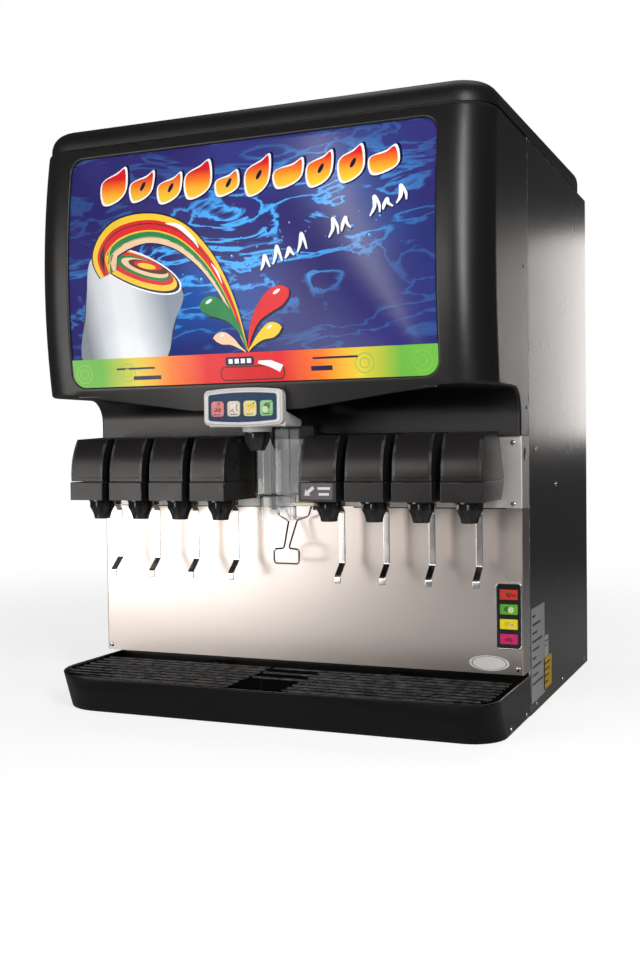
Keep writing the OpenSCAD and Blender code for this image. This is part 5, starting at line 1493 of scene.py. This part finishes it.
screw_tree, s_in, s_out, screw_sockets = node_tree(
    "screw_heads", [("Head", "NodeSocketObject", None), ("Places", "NodeSocketObject", None),
                    ("Seed", "NodeSocketInt", 4), ("Material", "NodeSocketMaterial", None)])
sn, sl = screw_tree.nodes, screw_tree.links
s_head = sn.new("GeometryNodeObjectInfo")
s_places = sn.new("GeometryNodeObjectInfo")
s_aim = sn.new("GeometryNodeInputNamedAttribute")
s_aim.data_type = "FLOAT_VECTOR"
s_aim.inputs["Name"].default_value = "aim"
s_align = sn.new("FunctionNodeAlignRotationToVector")
s_align.axis = "Z"
s_copy = sn.new("GeometryNodeInstanceOnPoints")
s_turn = sn.new("GeometryNodeRotateInstances")
s_random = sn.new("FunctionNodeRandomValue")
s_random.data_type = "FLOAT_VECTOR"
s_random.inputs["Min"].default_value = (0, 0, 0)
s_random.inputs["Max"].default_value = (0, 0, 1.57)
s_real = sn.new("GeometryNodeRealizeInstances")
s_paint = sn.new("GeometryNodeSetMaterial")
sl.new(s_in.outputs["Head"], s_head.inputs["Object"])
sl.new(s_in.outputs["Places"], s_places.inputs["Object"])
sl.new(s_places.outputs["Geometry"], s_copy.inputs["Points"])
sl.new(s_head.outputs["Geometry"], s_copy.inputs["Instance"])
sl.new(s_aim.outputs["Attribute"], s_align.inputs["Vector"])
sl.new(s_align.outputs["Rotation"], s_copy.inputs["Rotation"])
sl.new(s_in.outputs["Seed"], s_random.inputs["Seed"])
sl.new(s_copy.outputs["Instances"], s_turn.inputs["Instances"])
sl.new(s_random.outputs["Value"], s_turn.inputs["Rotation"])
sl.new(s_turn.outputs["Instances"], s_real.inputs["Geometry"])
sl.new(s_real.outputs["Geometry"], s_paint.inputs["Geometry"])
sl.new(s_in.outputs["Material"], s_paint.inputs["Material"])
sl.new(s_paint.outputs["Geometry"], s_out.inputs["Geometry"])
spots = []
for s in (-1, 1):
    spots += [((s * x, face_y, z), (0, -1, 0)) for x, z in ((372.6, 83), (366, 342), (366, 438))]
    spots += [((s * half_w, y, z), (s, 0, 0))
              for y, z in ((46, 12), (264, 12), (481, 12), (49, 427), (213, 365), (-132, 9), (-29, 9))]
places = bpy.data.meshes.new("screw_places")
places.from_pydata([at(*p) for p, _ in spots], [], [])
aims = places.attributes.new("aim", "FLOAT_VECTOR", "POINT")
for k, (_, direction) in enumerate(spots):
    aims.data[k].vector = direction
places_obj = bpy.data.objects.new("screw_places", places)
scene.collection.objects.link(places_obj)
screws = grown("panel_screw_heads", screw_tree, screw_sockets,
               [{"Head": head_mesh, "Places": places_obj, "Seed": 4, "Material": screw_steel}])
bpy.data.objects.remove(head_mesh)
bpy.data.objects.remove(places_obj)
place(screws, "cabinet", "screw_steel", "panel_screws")

# ---------- labels ----------
# Thin stickers, all blank or with plain bars: a rating plate and two small labels low on the right side,
# an oval badge low on the right of the splash panel, and an arrow label on the fifth valve's skirt.
film_grey = finish("film_grey", (0.60, 0.60, 0.60), (0.54, 0.54, 0.54), 0.35, relief=0.03)
film_white = finish("film_white", (0.78, 0.78, 0.77), (0.70, 0.70, 0.69), 0.35, relief=0.03)
film_yellow = finish("film_yellow", (0.98, 0.66, 0.01), (0.94, 0.60, 0.01), 0.45, relief=0.03,
                     Specular_IOR_Level=0.2)
film_bronze = finish("film_bronze", (0.20, 0.12, 0.05), (0.14, 0.08, 0.035), 0.35, relief=0.03)
film_ink = finish("film_ink", (0.05, 0.05, 0.055), (0.035, 0.035, 0.04), 0.4, relief=0.03)


def sticker(name, corners, material, bars=()):
    """A film on the right side panel with plain printed bars, from (y, z) corners."""
    (y0, z0), (y1, z1) = corners
    sheets = [((y0, z0, y1, z1), half_w + 0.15, material)]
    sheets += [((y0 + (y1 - y0) * a, z0 + (z1 - z0) * b, y0 + (y1 - y0) * c, z0 + (z1 - z0) * d),
                half_w + 0.2, film_ink) for a, b, c, d in bars]
    for k, ((a, b, c, d), x, shade) in enumerate(sheets):
        film = add_mesh(f"{name}_{k}", [(x, a, b), (x, c, b), (x, c, d), (x, a, d)], [(0, 1, 2, 3)], shade)
        if film.data.polygons[0].normal.x < 0:
            film.data.flip_normals()
        place(film, "cabinet", "side_steel")


sticker("rating_plate", ((8, 17.5), (110, 170)), film_grey,
        [(0.08, 0.9 - 0.09 * k, 0.3 + 0.6 * ((k * 0.618) % 1), 0.925 - 0.09 * k) for k in range(9)])
sticker("white_label", ((111, 76), (140, 112)), film_white, [(0.15, 0.7, 0.85, 0.78), (0.15, 0.5, 0.7, 0.56)])
sticker("yellow_label", ((102, 22), (166, 75)), film_yellow,
        [(0.1, 0.78 - 0.2 * k, 0.85 - 0.1 * k, 0.84 - 0.2 * k) for k in range(4)])
oval = disc(325.6, 90.2, 32.5, 12.25, 40)
flat_art("badge_film", oval, face_y - 0.12, 0, 0, "cabinet", "front_stainless", film_white)
for k, (grow, shade) in enumerate(((0.88, film_bronze), (0.83, film_white))):
    flat_art(f"badge_ring_{k}", [(325.6 + (x - 325.6) * grow, 90.2 + (z - 90.2) * grow) for x, z in oval],
             face_y - 0.16 - 0.03 * k, 0, 0, "cabinet", "front_stainless", shade)
tag_x = valve_x[4]
film_slate = finish("film_slate", (0.10, 0.095, 0.10), (0.085, 0.08, 0.085), 0.4, relief=0.03)
flat_art("valve_5_tag", [(-26, -12.5), (26, -12.5), (26, 12.5), (-26, 12.5)], cover_front - 0.1, tag_x, 366.5,
         "cabinet", "cover_grey", film_slate)
tag_art = [[(x * 0.77 - z * 0.64 - 13, x * 0.64 + z * 0.77) for x, z in
            ((-10, 0), (-2.5, 6.5), (-2.5, 2.6), (9.5, 2.6), (9.5, -2.6), (-2.5, -2.6), (-2.5, -6.5))]]
tag_art += [[(x0, z), (x1, z), (x1, z + 4), (x0, z + 4)] for x0, x1, z in ((1, 22, 2.5), (3, 20, -6.5))]
for k, outline in enumerate(tag_art):
    flat_art(f"valve_5_print_{k}", outline, cover_front - 0.13, tag_x, 366.5, "cabinet", "cover_grey",
             film_white)

# ---------- floor, light and camera ----------
# A plain pale floor under soft studio light: a large key from the front left, a tall strip at the right that
# draws the bright line down the hood's corner, and a camera low and to the right of the cabinet.
floor_paint = bpy.data.materials.new("pale_floor")
floor_paint.use_nodes = True
floor_shader = floor_paint.node_tree.nodes["Principled BSDF"]
floor_tree = floor_paint.node_tree
floor_noise = floor_tree.nodes.new("ShaderNodeTexNoise")
floor_noise.inputs["Scale"].default_value = 3.0
floor_tone = floor_tree.nodes.new("ShaderNodeMix")
floor_tone.data_type = "RGBA"
floor_tone.inputs[6].default_value = (0.58, 0.58, 0.58, 1)
floor_tone.inputs[7].default_value = (0.62, 0.62, 0.62, 1)
floor_tree.links.new(floor_noise.outputs["Fac"], floor_tone.inputs[0])
floor_tree.links.new(floor_tone.outputs[2], floor_shader.inputs["Base Color"])
floor_shader.inputs["Roughness"].default_value = 0.7
floor_shader.inputs["Emission Color"].default_value = (1, 1, 1, 1)
# seen straight from the camera the floor is lifted to white, and it melts into the backdrop with distance
floor_seen = floor_tree.nodes.new("ShaderNodeLightPath")
floor_lift = floor_tree.nodes.new("ShaderNodeMapRange")
floor_lift.inputs["To Max"].default_value = 0.72
floor_coord = floor_tree.nodes.new("ShaderNodeTexCoord")
floor_far = floor_tree.nodes.new("ShaderNodeVectorMath")
floor_far.operation = "LENGTH"
floor_fade = ramp(floor_tree.nodes, 0.7, 2.6)
floor_clear = floor_tree.nodes.new("ShaderNodeBsdfTransparent")
floor_mix = floor_tree.nodes.new("ShaderNodeMixShader")
floor_tree.links.new(floor_seen.outputs["Is Camera Ray"], floor_lift.inputs["Value"])
floor_tree.links.new(floor_lift.outputs["Result"], floor_shader.inputs["Emission Strength"])
floor_tree.links.new(floor_coord.outputs["Object"], floor_far.inputs[0])
floor_tree.links.new(floor_far.outputs["Value"], floor_fade.inputs["Value"])
floor_tree.links.new(floor_fade.outputs["Result"], floor_mix.inputs["Fac"])
floor_tree.links.new(floor_shader.outputs["BSDF"], floor_mix.inputs[1])
floor_tree.links.new(floor_clear.outputs["BSDF"], floor_mix.inputs[2])
floor_tree.links.new(floor_mix.outputs["Shader"], floor_tree.nodes["Material Output"].inputs["Surface"])
floor = add_mesh("floor", [(-6000, -6000, 0), (6000, -6000, 0), (6000, 6000, 0), (-6000, 6000, 0)],
                 [(0, 1, 2, 3)], floor_paint)


def soft_light(name, spot, aim, width, height, watts, shade=(1, 1, 1)):
    lamp = bpy.data.lights.new(name, "AREA")
    lamp.shape, lamp.size, lamp.size_y = "RECTANGLE", width, height
    lamp.energy, lamp.color = watts, shade
    obj = bpy.data.objects.new(name, lamp)
    scene.collection.objects.link(obj)
    obj.matrix_world = Matrix.LocRotScale(Vector(spot),
                                          (Vector(aim) - Vector(spot)).to_track_quat("-Z", "Y"), None)


soft_light("key", (-1.7, -2.5, 0.70), (-0.1, -0.2, 0.45), 1.8, 1.4, 23, (1, 0.965, 0.935))
soft_light("low", (-1.3, -1.9, 0.16), (-0.25, -0.25, 0.5), 0.9, 0.3, 3.5, (1, 0.96, 0.93))
soft_light("middle", (-0.3, -2.8, 1.0), (0.1, -0.1, 0.3), 1.3, 0.7, 8.5, (1, 0.97, 0.94))
soft_light("strip", (1.23, -1.70, 1.2), (0.36, -0.36, 0.72), 0.17, 1.25, 20)
soft_light("rear", (0.61, 2.8, 0.87), (0.38, 0.3, 0.6), 0.42, 0.82, 6.4, (1, 0.95, 0.92))
soft_light("top", (0, 0.4, 2.6), (0, 0, 0.9), 1.6, 1.2, 6)

world = bpy.data.worlds.new("studio")
scene.world = world
world.use_nodes = True
w_tree = world.node_tree
backdrop = w_tree.nodes["Background"]
seen = w_tree.nodes.new("ShaderNodeLightPath")
bright = w_tree.nodes.new("ShaderNodeMapRange")
bright.inputs["To Min"].default_value = 0.06
bright.inputs["To Max"].default_value = 1.0
w_tree.links.new(seen.outputs["Is Camera Ray"], bright.inputs["Value"])
w_tree.links.new(bright.outputs["Result"], backdrop.inputs["Strength"])
backdrop.inputs["Color"].default_value = (1, 1, 1, 1)

yaw, pitch, roll = math.radians(22.707), math.radians(-1.487), math.radians(-0.66)
aim = Vector((-math.sin(yaw) * math.cos(pitch), math.cos(yaw) * math.cos(pitch), math.sin(pitch)))
level = Vector((math.cos(yaw), math.sin(yaw), 0))
upward = level.cross(aim)
across = level * math.cos(roll) + upward * math.sin(roll)
upward = upward * math.cos(roll) - level * math.sin(roll)
camera = bpy.data.objects.new("camera", bpy.data.cameras.new("camera"))
scene.collection.objects.link(camera)
camera.data.lens = 43.77
facing = Matrix((across, upward, -aim)).transposed().to_4x4()
camera.matrix_world = Matrix.Translation(at(791.0, -1841.8, 430.4)) @ facing
scene.camera = camera
scene.view_settings.view_transform = "Standard"
